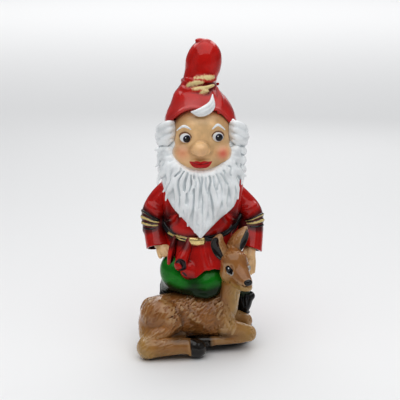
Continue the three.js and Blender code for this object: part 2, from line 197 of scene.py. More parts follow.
class Clay:
    """A solid kept as distances on a grid, negative inside."""

    def __init__(self, low, high, step=1.0):
        self.step = step * COARSE
        low = np.array(low, float) - BORDER * self.step
        count = np.ceil((np.array(high, float) + BORDER * self.step - low) / self.step).astype(int) + 1
        self.axes = [(low[i] + self.step * np.arange(count[i])).astype(np.float32) for i in range(3)]
        self.field = np.full(count, FAR, np.float32)

    def _merge(self, shape, soft, merge):
        low, high, distance = shape
        reach = soft + MERGE_REACH
        window = tuple(span(axis, low[i] - reach, high[i] + reach) for i, axis in enumerate(self.axes))
        if all(part.stop > part.start for part in window):
            near = distance(*(axis[part] for axis, part in zip(self.axes, window)))
            self.field[window] = merge(self.field[window], near)
        return self

    def add(self, shape, soft=0.0):
        return self._merge(shape, soft, lambda clay, near: soft_min(clay, near, soft))

    def cut(self, shape, soft=0.0):
        return self._merge(shape, soft, lambda clay, near: -soft_min(-clay, near, soft))

    def add_ropes(self, ropes, soft):
        for points in ropes:
            self.add(rope(points), soft)

    def grid(self):
        """The x, y and z of each grid point, as arrays that spread over the field."""
        x, y, z = self.axes
        return x[:, None, None], y[None, :, None], z[None, None, :]

    def raise_by(self, height):
        """Moves the surface outwards by a height given at each grid point."""
        self.field = self.field - height.astype(np.float32)

    def even(self):
        """Makes the field's slope one near the surface, so that distances are true there."""
        slope = np.sqrt(sum(part**2 for part in np.gradient(self.field, self.step)))
        self.field = self.field / np.clip(slope, 0.4, 3)

    def sample(self, points, field=None):
        """The field at any points, between its grid points."""
        field = self.field if field is None else field
        low = np.array([axis[0] for axis in self.axes])
        place = (points - low) / self.step
        corner = np.clip(place.astype(int), 0, np.array(field.shape) - 2)
        share = np.clip(place - corner, 0, 1)
        total = np.zeros(len(points))
        for step in np.ndindex(2, 2, 2):
            weight = np.prod(np.where(step, share, 1 - share), axis=1)
            total += weight * field[tuple((corner + step).T)]
        return total

    def cavity(self, rounds=9):
        """A blurred copy of the field: at the surface it is positive on ridges and negative in grooves."""
        blurred = np.clip(self.field, -4 * self.step, 4 * self.step)
        for _ in range(rounds):
            for axis in range(3):
                ahead, behind = np.roll(blurred, 1, axis), np.roll(blurred, -1, axis)
                blurred = blurred / 2 + (ahead + behind) / 4
        return blurred

    def skin(self, rounds=3):
        """The surface as corners and quads, by surface nets, evened out and laid back on the surface."""
        field, shape = self.field, np.array(self.field.shape)
        corners, owners, quads = [], [], []
        strides = np.array([shape[1] * shape[2], shape[2], 1])
        for axis in range(3):
            ahead = np.delete(np.arange(3), axis)
            low = np.take(field, range(shape[axis] - 1), axis)
            high = np.take(field, range(1, shape[axis]), axis)
            crossing = np.argwhere((low < 0) != (high < 0))
            crossing = crossing[(crossing[:, ahead] > 0).all(1)]
            start, end = low[tuple(crossing.T)], high[tuple(crossing.T)]
            points = crossing.astype(float)
            points[:, axis] += start / (start - end)
            around = [crossing @ strides - u * strides[ahead[0]] - v * strides[ahead[1]]
                      for u, v in ((0, 0), (1, 0), (1, 1), (0, 1))]
            corners.extend([points] * 4)
            owners.extend(around)
            quad = np.stack(around, 1)
            outward = (start < 0) == (axis != 1)
            quad[~outward] = quad[~outward][:, ::-1]
            quads.append(quad)
        owners, quads = np.concatenate(owners), np.concatenate(quads)
        cells, index = np.unique(owners, return_inverse=True)
        points = np.concatenate(corners)
        count = np.bincount(index)
        verts = np.stack([np.bincount(index, points[:, i]) / count for i in range(3)], 1)
        verts = verts * self.step + np.array([axis[0] for axis in self.axes])
        quads = np.searchsorted(cells, quads)
        for _ in range(rounds):
            verts = self.settle(relax(verts, quads))
        return verts, quads

    def settle(self, verts):
        """Moves points that are close to the surface onto it."""
        value = self.sample(verts)
        slope = np.zeros_like(verts)
        for axis in range(3):
            ahead, behind = verts.copy(), verts.copy()
            ahead[:, axis] += self.step / 2
            behind[:, axis] -= self.step / 2
            slope[:, axis] = (self.sample(ahead) - self.sample(behind)) / self.step
        move = value / np.maximum((slope**2).sum(1), 0.3)
        move = np.clip(move, -self.step / 2, self.step / 2)
        return verts - slope * move[:, None]


def relax(verts, quads):
    """Moves each corner half way to the middle of its neighbours."""
    total, count = np.zeros_like(verts), np.zeros(len(verts))
    for a, b in ((0, 1), (1, 2), (2, 3), (3, 0)):
        for here, there in ((quads[:, a], quads[:, b]), (quads[:, b], quads[:, a])):
            for axis in range(3):
                total[:, axis] += np.bincount(here, verts[there, axis], len(verts))
            count += np.bincount(here, minlength=len(verts))
    return (verts + total / count[:, None]) / 2


def comb(clay, count, where, flow, length=8.0, width=1.1):
    """Combs short grooves along a flow into the clay, where its corners are in the wanted area."""
    corners = clay.skin(1)[0]
    corners = corners[where(*corners.T)]
    starts = corners[RANDOM.integers(0, len(corners), count)]
    way = flow(starts) + RANDOM.normal(0, 0.22, starts.shape)
    way *= (length * RANDOM.uniform(0.6, 1.3, count) / np.linalg.norm(way, axis=1))[:, None]
    middles, ends = starts + way / 2, starts + way
    for _ in range(4):
        middles, ends = clay.settle(middles), clay.settle(ends)
    for start, middle, end in zip(starts, middles, ends):
        clay.cut(rope([[*start, width * 0.35], [*middle, width], [*end, width * 0.3]], 2), 0.9)


def build_mesh(name, verts, quads):
    """A Blender object from corners in units and quads."""
    mesh = bpy.data.meshes.new(name)
    mesh.vertices.add(len(verts))
    mesh.vertices.foreach_set("co", (verts * UNIT + np.array(ORIGIN)).astype(np.float32).ravel())
    mesh.loops.add(quads.size)
    mesh.loops.foreach_set("vertex_index", quads.astype(np.int32).ravel())
    mesh.polygons.add(len(quads))
    mesh.polygons.foreach_set("loop_start", np.arange(0, quads.size, 4, dtype=np.int32))
    mesh.update(calc_edges=True)
    mesh.shade_smooth()
    thing = bpy.data.objects.new(name, mesh)
    bpy.context.collection.objects.link(thing)
    return thing


def piece(name, clay, material, nodes, layers=None, body="figure"):
    """Skins the clay, paints its layers at each corner, and lets it stand for its CAD nodes.
    layers maps a layer's name to a function of the corners' x, y and z."""
    verts, quads = clay.skin()
    thing = build_mesh(name, verts, quads)
    values = {"cavity": clay.sample(verts, clay.cavity()) / clay.step}
    for layer, paint in (layers or {}).items():
        values[layer] = paint(*verts.T)
    for layer, value in values.items():
        kept = thing.data.attributes.new(layer, "FLOAT", "POINT")
        kept.data.foreach_set("value", np.broadcast_to(value, len(verts)).astype(np.float32))
    thing.data.materials.append(material)
    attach(thing, body)
    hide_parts(*nodes)


# ---- Paint ---------------------------------------------------------------------------------


LACQUER_ROUGHNESS, LACQUER_IOR = 0.06, 1.45
PAINT_SHINE = 0.12  # the paint under the lacquer hardly shines by itself


class Paint:
    """A material built up from layers of colour over one glossy base."""

    def __init__(self, name, colour, roughness=0.3, coat=0.75, metallic=0.0):
        self.material = bpy.data.materials.new(name)
        self.material.use_nodes = True
        self.tree = self.material.node_tree
        self.shader = self.tree.nodes["Principled BSDF"]
        self.shader.inputs["Metallic"].default_value = metallic
        self.shader.inputs["Coat Weight"].default_value = coat
        self.shader.inputs["Coat Roughness"].default_value = LACQUER_ROUGHNESS
        self.shader.inputs["Coat IOR"].default_value = LACQUER_IOR
        self.shader.inputs["Specular IOR Level"].default_value = PAINT_SHINE
        self.place = self.node("ShaderNodeTexCoord").outputs["Object"]
        self.colour = self.vary(colour, 0.82, 1.12, 22)
        self.roughness = roughness
        self.height = None

    def node(self, kind, **inputs):
        made = self.tree.nodes.new(kind)
        for name, value in inputs.items():
            self.link(value, made.inputs[name.replace("_", " ")])
        return made

    def link(self, value, socket):
        if isinstance(value, bpy.types.NodeSocket):
            self.tree.links.new(value, socket)
        else:
            socket.default_value = value

    def noise(self, scale, detail=3.0, stretch=(1, 1, 1)):
        """A noise between 0 and 1, in cycles per figure height."""
        mapping = self.node("ShaderNodeMapping", Vector=self.place, Scale=stretch)
        scale = scale / (FIGURE_HEIGHT * UNIT)
        noise = self.node("ShaderNodeTexNoise", Vector=mapping.outputs[0], Scale=scale, Detail=detail)
        return noise.outputs[0]

    def math(self, operation, a, b=0.0):
        made = self.tree.nodes.new("ShaderNodeMath")
        made.operation = operation
        self.link(a, made.inputs[0])
        self.link(b, made.inputs[1])
        return made.outputs[0]

    def span(self, value, low, high, to_low=0.0, to_high=1.0):
        """value from low to high, smoothly turned to to_low to to_high."""
        made = self.node("ShaderNodeMapRange", Value=value, From_Min=low, From_Max=high)
        made.interpolation_type = "SMOOTHSTEP"
        made.inputs["To Min"].default_value = to_low
        made.inputs["To Max"].default_value = to_high
        return made.outputs[0]

    def layer(self, name):
        made = self.tree.nodes.new("ShaderNodeAttribute")
        made.attribute_name = name
        return made.outputs["Fac"]

    def mix(self, share, a, b):
        made = self.tree.nodes.new("ShaderNodeMix")
        made.data_type = "RGBA"
        self.link(share, made.inputs[0])
        self.link(a, made.inputs[6])
        self.link(b, made.inputs[7])
        return made.outputs[2]

    def vary(self, colour, low, high, scale):
        """The colour, uneven in brightness between low and high times itself."""
        dark = (*(part * low for part in colour), 1)
        light = (*(min(part * high, 1) for part in colour), 1)
        return self.mix(self.span(self.noise(scale, 4), 0.3, 0.7), dark, light)

    def over(self, share, colour):
        """Lays a colour over what is there."""
        colour = (*colour, 1) if isinstance(colour, tuple) else colour
        self.colour = self.mix(share, self.colour, colour)

    def grooves(self, colour, strength=1.0, low=0.0, high=-0.7):
        """Darkens the grooves with a colour: painted shade in the sunken places."""
        share = self.math("MULTIPLY", self.span(self.layer("cavity"), low, high), strength)
        self.over(share, colour)

    def ridges(self, colour, strength=1.0, low=0.1, high=0.6):
        """Lightens the ridges towards a colour."""
        self.grooves(colour, strength, low, high)

    def edge(self, name, soft=0.5, wobble=0.6):
        """A layer that holds a distance in units, negative inside, as a painted area with an uneven edge."""
        shaky = self.math("MULTIPLY", self.math("SUBTRACT", self.noise(140, 2), 0.5), wobble * 2)
        return self.span(self.math("ADD", self.layer(name), shaky), soft, -soft)

    def bump(self, height, strength, distance):
        made = self.node("ShaderNodeBump", Height=height, Strength=strength, Distance=distance * UNIT)
        if self.height is not None:
            self.link(self.height, made.inputs["Normal"])
        self.height = made.outputs[0]

    def done(self):
        wear_and_sheen = self.noise(60, 4)
        rough = self.span(wear_and_sheen, 0.3, 0.75, self.roughness * 0.75, self.roughness * 1.35)
        self.link(rough, self.shader.inputs["Roughness"])
        self.link(self.colour, self.shader.inputs["Base Color"])
        self.bump(self.noise(260, 2), 0.12, 0.5)
        self.link(self.height, self.shader.inputs["Normal"])
        self.link(self.height, self.shader.inputs["Coat Normal"])
        return self.material


# ---- The paints ----------------------------------------------------------------------------

RED = (0.5, 0.010, 0.006)
# dark red for painted shade in the grooves of the red cloth
SHADE_RED = (0.16, 0.003, 0.002)
BLACK = (0.006, 0.006, 0.007)
GOLD = (0.66, 0.50, 0.20)
PALE_GOLD = (0.74, 0.60, 0.30)
WHITE = (0.86, 0.885, 0.895)
# grey for painted shade in the grooves of the white hair and beard
SHADE_GREY = (0.50, 0.55, 0.57)
SKIN = (0.80, 0.53, 0.28)
# brown for painted shade on the skin: in its grooves and under the hat's rim
SHADE_TAN = (0.42, 0.22, 0.09)
ROSE = (0.75, 0.13, 0.10)
LIP = (0.55, 0.008, 0.010)
GREEN = (0.008, 0.20, 0.012)
BROWN = (0.32, 0.14, 0.042)
RUSSET = (0.24, 0.085, 0.022)
PALE_PINK = (0.86, 0.72, 0.62)
# the pale pinkish red of the hat's painted sheen
SHEEN_RED = (0.62, 0.17, 0.16)
OCHRE = (0.42, 0.26, 0.075)


def red_paint(name, gold=False, painted_shade=False):
    paint = Paint(name, RED, roughness=0.22)
    # painted shade: the grooves of the red cloth turn dark red
    paint.grooves(SHADE_RED, 0.9, -0.02, -0.35)
    if painted_shade:
        # painted shade: black laid over the red where the cloth lies in shade
        paint.over(paint.layer("painted_shade"), BLACK)
    if gold:
        # painted sheen: a paler pinkish red on the front of the hat
        paint.over(paint.layer("wear_and_sheen"), SHEEN_RED)
        paint.over(paint.edge("gold", 1.8, 2.6), PALE_GOLD)
    return paint.done()


def white_paint(name):
    paint = Paint(name, WHITE, roughness=0.3, coat=0.6)
    # painted shade: grey in the grooves of the white hair
    paint.grooves(SHADE_GREY, 0.7, 0.0, -0.6)
    paint.ridges((0.92, 0.93, 0.93), 0.6, 0.1, 0.5)
    paint.bump(paint.noise(120, 4, (2.2, 2.2, 0.5)), 0.25, 0.8)
    return paint.done()


def skin_paint(name):
    paint = Paint(name, SKIN, roughness=0.3, coat=0.8)
    paint.grooves(SHADE_TAN, 0.55, -0.02, -0.5)
    return paint.done()


def face_paint():
    paint = Paint("face_paint", SKIN, roughness=0.3, coat=0.8)
    # painted shade: brown under the hat's rim
    paint.over(paint.layer("rim_shade"), SHADE_TAN)
    paint.over(paint.layer("rose"), ROSE)
    paint.over(paint.layer("overspray"), PALE_PINK)
    paint.grooves(SHADE_TAN, 0.5, -0.05, -0.6)
    paint.over(paint.edge("brow", 0.35), WHITE)
    paint.over(paint.edge("lid", 0.3, 0.3), (0.16, 0.06, 0.02))
    paint.over(paint.edge("eye", 0.3, 0.2), (0.78, 0.80, 0.80))
    paint.over(paint.edge("iris", 0.3, 0.2), (0.008, 0.012, 0.09))
    paint.over(paint.edge("pupil", 0.3, 0.2), BLACK)
    paint.over(paint.edge("glint", 0.3, 0.0), (0.9, 0.92, 0.94))
    paint.over(paint.edge("lips", 0.35, 0.4), LIP)
    paint.over(paint.edge("mouth", 0.5, 0.3), (0.10, 0.003, 0.003))
    return paint.done()


# ---- Head ----------------------------------------------------------------------------------


def strongest(layers, most):
    """The highest of some layers at each point, between 0 and most."""
    return np.clip(np.maximum.reduce(layers), 0, most)


def away_from(points, x, y, z):
    """How far each corner is from the nearest of the points along a smooth curve, less its radius there."""
    nearest = np.full(len(x), FAR)
    for middle_x, middle_y, middle_z, radius in smooth_path(points, 10):
        away = np.sqrt((x - middle_x) ** 2 + (y - middle_y) ** 2 + (z - middle_z) ** 2)
        nearest = np.minimum(nearest, away - radius)
    return nearest


def oval(x, z, middle, half, turn=0.0):
    """The distance from an oval drawn on the face as seen from the front."""
    cosine, sine = math.cos(math.radians(turn)), math.sin(math.radians(turn))
    across = (x - middle[0]) * cosine + (z - middle[1]) * sine
    up = (z - middle[1]) * cosine - (x - middle[0]) * sine
    return (np.sqrt((across / half[0]) ** 2 + (up / half[1]) ** 2) - 1) * min(half)


EYES = {"right": (-20.5, 308.0), "left": (25.0, 309.5)}  # each eye's middle, as x and z
EYE_HALF = (7.4, 6.6)  # half the width and half the height of a painted eye
LOOK = {"right": (2.2, -0.9), "left": (1.6, -0.4)}  # how far each iris lies from its eye's middle
BROWS = {
    "right": [[-32, -37, 318.5, 0.8], [-25.5, -40, 324, 1.7], [-20, -42, 325, 1.9], [-12.5, -43, 321, 0.9]],
    "left": [[17, -43, 321.5, 0.9], [23.5, -42, 327, 1.9], [28, -40, 325.5, 1.7], [34.5, -37, 319.5, 0.8]],
}
LIPS_MIDDLE = (1.0, 271.5)


def sculpt_head():
    clay = Clay([-58, -66, 219], [64, 48, 346], 0.8)
    clay.add(ball([CENTRE, 3, 301], [43.5, 42, 44]))
    clay.add(ball([CENTRE, -20, 296], [37, 22, 32]), 10)
    clay.add(ball([CENTRE, -7, 321], [40, 31, 27]), 8)
    for side in (-1, 1):
        clay.add(ball([CENTRE + side * 25, -27, 284], [17.5, 17, 16.5]), 4)
        clay.add(ball([CENTRE - 2 + side * 9.5, -45, 291], [4.4, 5, 4.5]), 5)
        clay.add(ball([CENTRE + side * 53, 3, 293], [7, 6, 12]), 5)
    clay.add(ball([CENTRE - 1, -27, 268], [30, 15, 17]), 10)
    clay.add(ball([CENTRE - 2, -46.5, 294], [11.6, 14, 10.6]), 3)
    for name, (x, z) in EYES.items():
        clay.cut(ball([x, -45, z + 0.5], [10.5, 9, 8.5]), 5)
        clay.add(ball([x, -33.5, z], [8.6, 8.5, 7.6]), 1)
        clay.add(rope(BROWS[name]), 1.2)
    add_lips(clay)
    clay.add(rope([[CENTRE, 8, 272, 23], [CENTRE, 10, 240, 21.5]]), 5)
    clay.cut(half_space([0, 0, 221], [0, 0, 1]))
    return clay


def add_lips(clay):
    """A full upper lip with two peaks, and a fuller lower lip."""
    x, z = LIPS_MIDDLE
    for side in (-1, 1):
        clay.add(rope([[x, -43, z + 2.2, 2.4], [x + side * 5, -43, z + 3.6, 2.6],
                       [x + side * 16, -38, z + 4.4, 1.0]]), 1.5)
        clay.add(rope([[x, -43, z - 1.4, 3.4], [x + side * 7, -41.5, z - 0.2, 2.8],
                       [x + side * 15.5, -38, z + 3.8, 1.0]]), 1.5)


def lips_edge(x, y, z):
    """The distance from the painted lips: a bow above and a deep curve below."""
    across = np.abs(x - LIPS_MIDDLE[0])
    up = z - LIPS_MIDDLE[1]
    top = 4.0 + 1.3 * np.sin(np.clip(across / 5.2, 0, 1.9) * math.pi / 2)
    bottom = -5.4 + 0.00014 * across**4
    edge = np.maximum(np.maximum(up - top, bottom - up), across - 17)
    return np.maximum(edge, y + 22)


def beard_distance(x, z):
    """How far a point of the face is outside the opening in the beard, negative inside."""
    rows = smooth_path(FACE_OPENING, 8)
    width = np.interp(z, rows[:, 0], rows[:, 3])
    return np.maximum(np.abs(x - CENTRE) - width, rows[0, 0] + 2 - z)


def make_head():
    clay = sculpt_head()

    def overspray(x, y, z):
        beard_side = smooth_between(beard_distance(x, z), -5, 1)
        hair_side = smooth_between(np.abs(x - CENTRE), 35, 42) * smooth_between(z, 286, 296)
        return 0.7 * np.maximum(beard_side * smooth_between(z, 300, 288), hair_side) * (y < -5)

    # painted shade: brown on the forehead under the hat's rim
    def rim_shade(x, y, z):
        under_rim = smooth_between(z - (339 - 0.55 * (y + 38) - 0.012 * (x - 2) ** 2), -8, 6)
        return 0.55 * under_rim

    def rose(x, y, z):
        left = np.exp(-((x - 32) ** 2 + (z - 287) ** 2) / 60) * 0.8
        right = np.exp(-((x + 25) ** 2 + (z - 287) ** 2) / 90) * 0.4
        nose = np.exp(-((x - 2) ** 2 + (z - 291) ** 2) / 90) * (y < -50) * 0.12
        return np.clip((left + right) * (y < -15) + nose, 0, 1)

    def on_eyes(half, shift=False, moved=(0, 0)):
        def edge(x, y, z):
            nearest = np.full(len(x), FAR)
            for name, (ex, ez) in EYES.items():
                look = LOOK[name] if shift else (0, 0)
                middle = (ex + look[0] + moved[0], ez + look[1] + moved[1])
                nearest = np.minimum(nearest, oval(x, z, middle, half))
            return np.maximum(nearest, y + 25)
        return edge

    def lid(x, y, z):
        nearest = np.full(len(x), FAR)
        for ex, ez in EYES.values():
            ring = np.abs(oval(x, z, (ex, ez), (EYE_HALF[0] + 0.8, EYE_HALF[1] + 0.8))) - 0.75
            nearest = np.minimum(nearest, np.maximum(ring, ez + 0.5 - z))
        return np.maximum(nearest, y + 25)

    def brow(x, y, z):
        return np.minimum(*(away_from(BROWS[name], x, y, z) for name in EYES)) - 0.35

    def mouth(x, y, z):
        across = np.abs(x - LIPS_MIDDLE[0])
        line = np.abs(z - (LIPS_MIDDLE[1] + 0.9 + 0.013 * across**2)) - 0.5
        return np.maximum(np.maximum(line, across - 11.5), y + 22)

    layers = {
        "rim_shade": rim_shade, "rose": rose, "overspray": overspray,
        "brow": brow, "lid": lid, "lips": lips_edge, "mouth": mouth,
        "eye": on_eyes(EYE_HALF), "iris": on_eyes((5.2, 5.4), True), "pupil": on_eyes((4.4, 4.6), True),
        "glint": on_eyes((0.8, 0.8), True, (-1.6, 2.0)),
    }
    piece("face", clay, face_paint(), ["head"], layers)


# ---- Hat -----------------------------------------------------------------------------------

HAT_ROWS = [
    [278, 3, 8, 47, 49],
    [300, 3, 8, 50, 51],
    [317, 2, 7, 51.5, 49.5],
    [327, 0.5, 7, 51, 48],
    [338, 0.6, 8, 48, 46],
    [348, 0.5, 10, 43.2, 42],
    [357, -1, 12, 38.5, 37],
    [364, -3, 14, 33.6, 33],
    [374, -2.6, 17, 26.2, 27],
    [384, 0, 18, 24.3, 24.5],
    [396, 3.7, 20, 25.3, 24.3],
    [410, 5.3, 20, 25.7, 24],
    [422, 6.5, 20, 22.5, 21.5],
    [431, 7, 20, 16.5, 16],
    [437, 7.5, 20, 8.5, 8],
    [439, 7.5, 20, 2, 2],
]
GOLD_FOLDS = [
    [[-6, -4.5, 386, 1.4], [4, -5.5, 387.5, 2.0], [13, -5, 387.5, 2.0], [19, -1, 388, 1.2]],
    [[-17, -4, 377, 0.8], [-12, -8, 379.5, 1.6], [-4, -10, 381, 1.6], [3, -10, 381.5, 0.8]],
    [
        [-9, -12, 372.5, 1], [0, -13.5, 374, 1.8], [10, -13, 375, 2.6],
        [17, -9, 376.5, 2.2], [20, -6, 377, 1.2],
    ],
    [[2, -16.5, 368.5, 0.8], [7, -17, 369.5, 1.3], [12, -16, 370, 0.8]],
]
RED_FOLDS = [
    [[-20, 4, 384, 1.2], [-12, -4, 383, 2.0], [2, -7.5, 384, 2.0], [16, -5, 383, 1.8], [22, 4, 383, 1.0]],
    [[-25, 4, 372, 1.2], [-18, -7, 370, 2.0], [-6, -13.5, 371, 1.6], [4, -15, 371.5, 0.8]],
    [[24, 8, 371, 1.2], [28, -4, 362, 2.4], [29, -17, 350, 2.0], [25, -25, 340, 0.8]],
    [[-25, 24, 380, 2], [-12, 42, 377, 3], [6, 46, 378, 3], [22, 34, 382, 2]],
    [[-22, 34, 369, 2], [-4, 48, 366, 3.4], [14, 46, 368, 3], [26, 30, 374, 2]],
]
RIM_Z, RIM_RISE = 317, 0.62  # the rim's height at the ears, and how it rises to the front
HAT_THICKNESS = 3.4
HAT_INSIDE_TOP = 352
FOLD_SINK = 1.2  # how far the folds are sunk into the hat


def rim_path(radius, out=0.0):
    """Round the hat's lower edge, from its side profile and the slanting plane that ends it."""
    rows = smooth_path(HAT_ROWS, 8)
    points = []
    for turn in np.linspace(0, 2 * math.pi, 49):
        z = RIM_Z
        for _ in range(12):
            x0, y0, width, depth = (np.interp(z, rows[:, 0], rows[:, i]) for i in range(1, 5))
            y = y0 - (depth + out) * math.cos(turn)
            z = RIM_Z - RIM_RISE * y + rim_wave(x0 + width * math.sin(turn))
        points.append([x0 + (width + out) * math.sin(turn), y, z, radius])
    return points


def rim_wave(x):
    """The rim dips at the ears and has two arches in front."""
    arch = 14 * np.exp(-(((x + 14) / 25) ** 2)) + 12 * np.exp(-(((x - 24) / 15) ** 2))
    return arch - 6 * (np.abs(x) / 50) ** 4


def sculpt_hat():
    clay = Clay([-54, -46, 270], [58, 64, 441])
    clay.add(stack(HAT_ROWS)).even()
    x, y, z = clay.grid()
    below = RIM_Z - RIM_RISE * y + rim_wave(x) - z
    clay.field = -soft_min(-clay.field, -below / math.hypot(1, RIM_RISE), 0)
    inner = np.maximum(clay.field + HAT_THICKNESS, z - HAT_INSIDE_TOP)
    clay.field = np.maximum(clay.field, -inner).astype(np.float32)
    clay.add(rope(rim_path(2.0, -1.4), 2), 3.5)
    for fold in GOLD_FOLDS + RED_FOLDS:
        clay.add(rope(np.array(fold) + [0, FOLD_SINK, 0, 0]), 5)
    clay.add(ball([0, 20, 437], [7, 6, 3.4]), 3)
    clay.add(ball([10, 17, 436.5], [5, 5, 3]), 2)
    return clay


def make_hat():
    # painted sheen: a paler pinkish red where the front of the hat catches the light
    def wear_and_sheen(x, y, z):
        patch = np.exp(-((x + 14 - 0.5 * (z - 350)) ** 2 / 260 + (z - 349) ** 2 / 220))
        right = np.exp(-((x - 30 + 0.8 * (z - 340)) ** 2 / 60 + (z - 346) ** 2 / 260))
        return (0.45 * patch + 0.25 * right) * (y < 0)

    def gold(x, y, z):
        return np.minimum.reduce([away_from(fold, x, y, z) for fold in GOLD_FOLDS]) - 1.6

    piece("hat_red", sculpt_hat(), red_paint("hat_paint", gold=True), ["hat"],
          {"gold": gold, "wear_and_sheen": wear_and_sheen})


# ---- Hair and beard ------------------------------------------------------------------------

FORELOCK_LINE = [[-12, -34, 343.5], [-3, -37.5, 342.4], [8, -37, 346], [17, -28, 353.2], [17.5, -20, 365.8]]
FORELOCK_RADII = [0.8, 2.8, 3.7, 3.1, 0.8]


def make_forelock():
    clay = Clay([-18, -52, 328], [32, -12, 372], 0.7)
    line = np.array(FORELOCK_LINE, float)
    strands = [(0, 3.6, 1), (-0.5, 0.2, 0.95), (0.6, -3.2, 0.85), (-2.4, 1.8, 0.7)]
    swell = np.array([0.15, 0.8, 1.0, 0.85, 0.1])[:, None]
    for along, across, size in strands:
        shift = np.array([-across * 0.55, abs(across) * 0.25 + along * 0.2, across * 0.95])
        rows = np.hstack([line + shift * swell, np.array(FORELOCK_RADII)[:, None] * size])
        clay.add(rope(rows), 0.4)
    clay.add(ball([5, -29, 344], [11, 7, 5]), 1)
    piece("forelock_white", clay, white_paint("forelock_paint"), ["forelock"])


HAIR_OUT, HAIR_DROP = 1.5, 2.5  # moves every strand outwards and down
NAPE_LOCKS = 6
NAPE_FIRST, NAPE_SPREAD = 8, 84  # degrees from straight back to the first lock, and from there to the last
NAPE_LIFT = 3  # every second lock hangs this much higher
# The points of a lock at the nape, as the reach from the head's middle, the height and the radius.
NAPE_LOCK = [(40, 304, 4), (44, 292, 7), (45.5, 278, 6.5), (46, 266, 5), (48, 258, 3)]


def hair_strand(side, points):
    return rope([[CENTRE + side * (x + HAIR_OUT), y, z - HAIR_DROP, radius] for x, y, z, radius in points])


def make_hair(side, word):
    inner, outer = CENTRE - side * 2, CENTRE + side * 68
    clay = Clay([min(inner, outer), -34, 246], [max(inner, outer), 66, 334], 0.9)
    strands = [
        [[40, -20, 329, 3], [46, -24, 328, 4.8], [54, -17, 322, 6.4], [58, -2, 315, 6.4], [54, 14, 311, 4]],
        [
            [39, -20, 322, 3], [46, -25, 319.5, 5.2], [56, -16, 312, 6.4],
            [59.5, 0, 305, 6.2], [54, 16, 302, 4],
        ],
        [[39, -20, 313, 3], [46, -25, 310, 5.0], [55, -14, 303, 5.8], [58, 2, 297, 5.6], [52, 18, 294, 3.6]],
        [[41, -20, 304, 2], [48, -20, 300, 4.4], [54, -8, 295, 4.6], [54, 8, 290, 4.2], [50, 18, 288, 3]],
        [[44, 8, 314, 6], [50, 20, 308, 7], [44, 33, 302, 5], [36, 40, 298, 3]],
        [[46, 8, 302, 6], [48, 20, 297, 6.5], [42, 32, 292, 4.5], [34, 38, 288, 2.5]],
    ]
    for strand in strands:
        clay.add(hair_strand(side, strand), 1.8)
    for number in range(NAPE_LOCKS):
        turn = math.radians(NAPE_FIRST + NAPE_SPREAD * number / (NAPE_LOCKS - 1))
        across, back = side * math.sin(turn), math.cos(turn)
        lift = (number % 2) * NAPE_LIFT
        lock = [[CENTRE + reach * across, 2 + (reach + 1) * back, z + lift, radius]
                for reach, z, radius in NAPE_LOCK]
        clay.add(rope(lock), 3)
    clay.add(ball([CENTRE + side * 49, -2, 304], [8, 21, 18]), 1)
    clay.add(ball([CENTRE + side * 43, -13, 314], [7, 13, 17]), 2)
    piece("hair_white_" + word, clay, white_paint("hair_paint_" + word), ["hair_" + word])


BEARD_ROWS = [
    [170, 1, -59, 1.5, 1.5],
    [180, 1, -55, 11, 7],
    [195, 2, -48, 26, 14],
    [212, 4, -41, 44, 20],
    [232, 2, -32, 52, 26],
    [252, 1, -22, 56, 31],
    [268, 1, -14, 57.5, 34],
    [284, 2, -8, 56, 33],
    [298, 3, -4, 53, 28],
    [308, 3, 0, 48, 18],
]
# Where the locks end along the beard's outline, from the gnome's right ear round the tip to the left.
BEARD_ENDS = [
    [-61, 288], [-60, 276], [-63, 264], [-60, 252], [-58, 241], [-51, 231], [-46, 219], [-38, 206],
    [-29, 197], [-21, 190], [-13, 182], [-5, 178], [1, 172], [7, 182], [13, 188], [22, 192], [29, 199],
    [39, 201], [48, 210], [54, 221], [54, 231], [57, 241], [62, 252], [61, 264], [62, 276], [62, 288],
]
MOUTH_MIDDLE = (2, 292)
MOUTH_HALF = (43, 33)


def beard_front(x, z):
    """y of the beard's front at x and z."""
    rows = smooth_path(BEARD_ROWS, 8)
    x0, y0, width, depth = (np.interp(z, rows[:, 0], rows[:, i]) for i in range(1, 5))
    share = np.clip(((x - x0) / width) ** 2, 0, 0.96)
    return y0 - depth * np.sqrt(1 - share)


def lock(start, end, thickness, wave, phase, lift):
    """The rows of a wavy tapering lock over the beard's front, from the face to its free tip."""
    rows = []
    for share in np.linspace(0, 1, 9):
        eased = share**1.35
        x = start[0] + (end[0] - start[0]) * (0.55 * share + 0.45 * math.sin(share * math.pi / 2))
        z = start[1] + (end[1] - start[1]) * eased
        x += wave * math.sin(2 * math.pi * (1.15 * share + phase)) * min(share * 3, 1)
        swell = math.sin(math.pi * min(share * 0.92 + 0.14, 1)) ** 0.6
        y = beard_front(np.array(x), np.array(z)) - lift * math.sin(math.pi * share) + 0.5
        rows.append([x, float(y), z, max(thickness * swell, 1.3)])
    return np.array(rows)


FACE_OPENING = [
    [262.5, 1, -60, 5, 40],
    [264, 1, -60, 14, 42],
    [267.5, 1, -60, 23, 44],
    [272, 1, -60, 31, 45],
    [277, 1, -60, 36.5, 46],
    [284, 1.5, -60, 40.5, 48],
    [293, 2, -60, 42, 48],
    [304, 2, -60, 42, 48],
    [316, 2, -60, 42, 48],
]


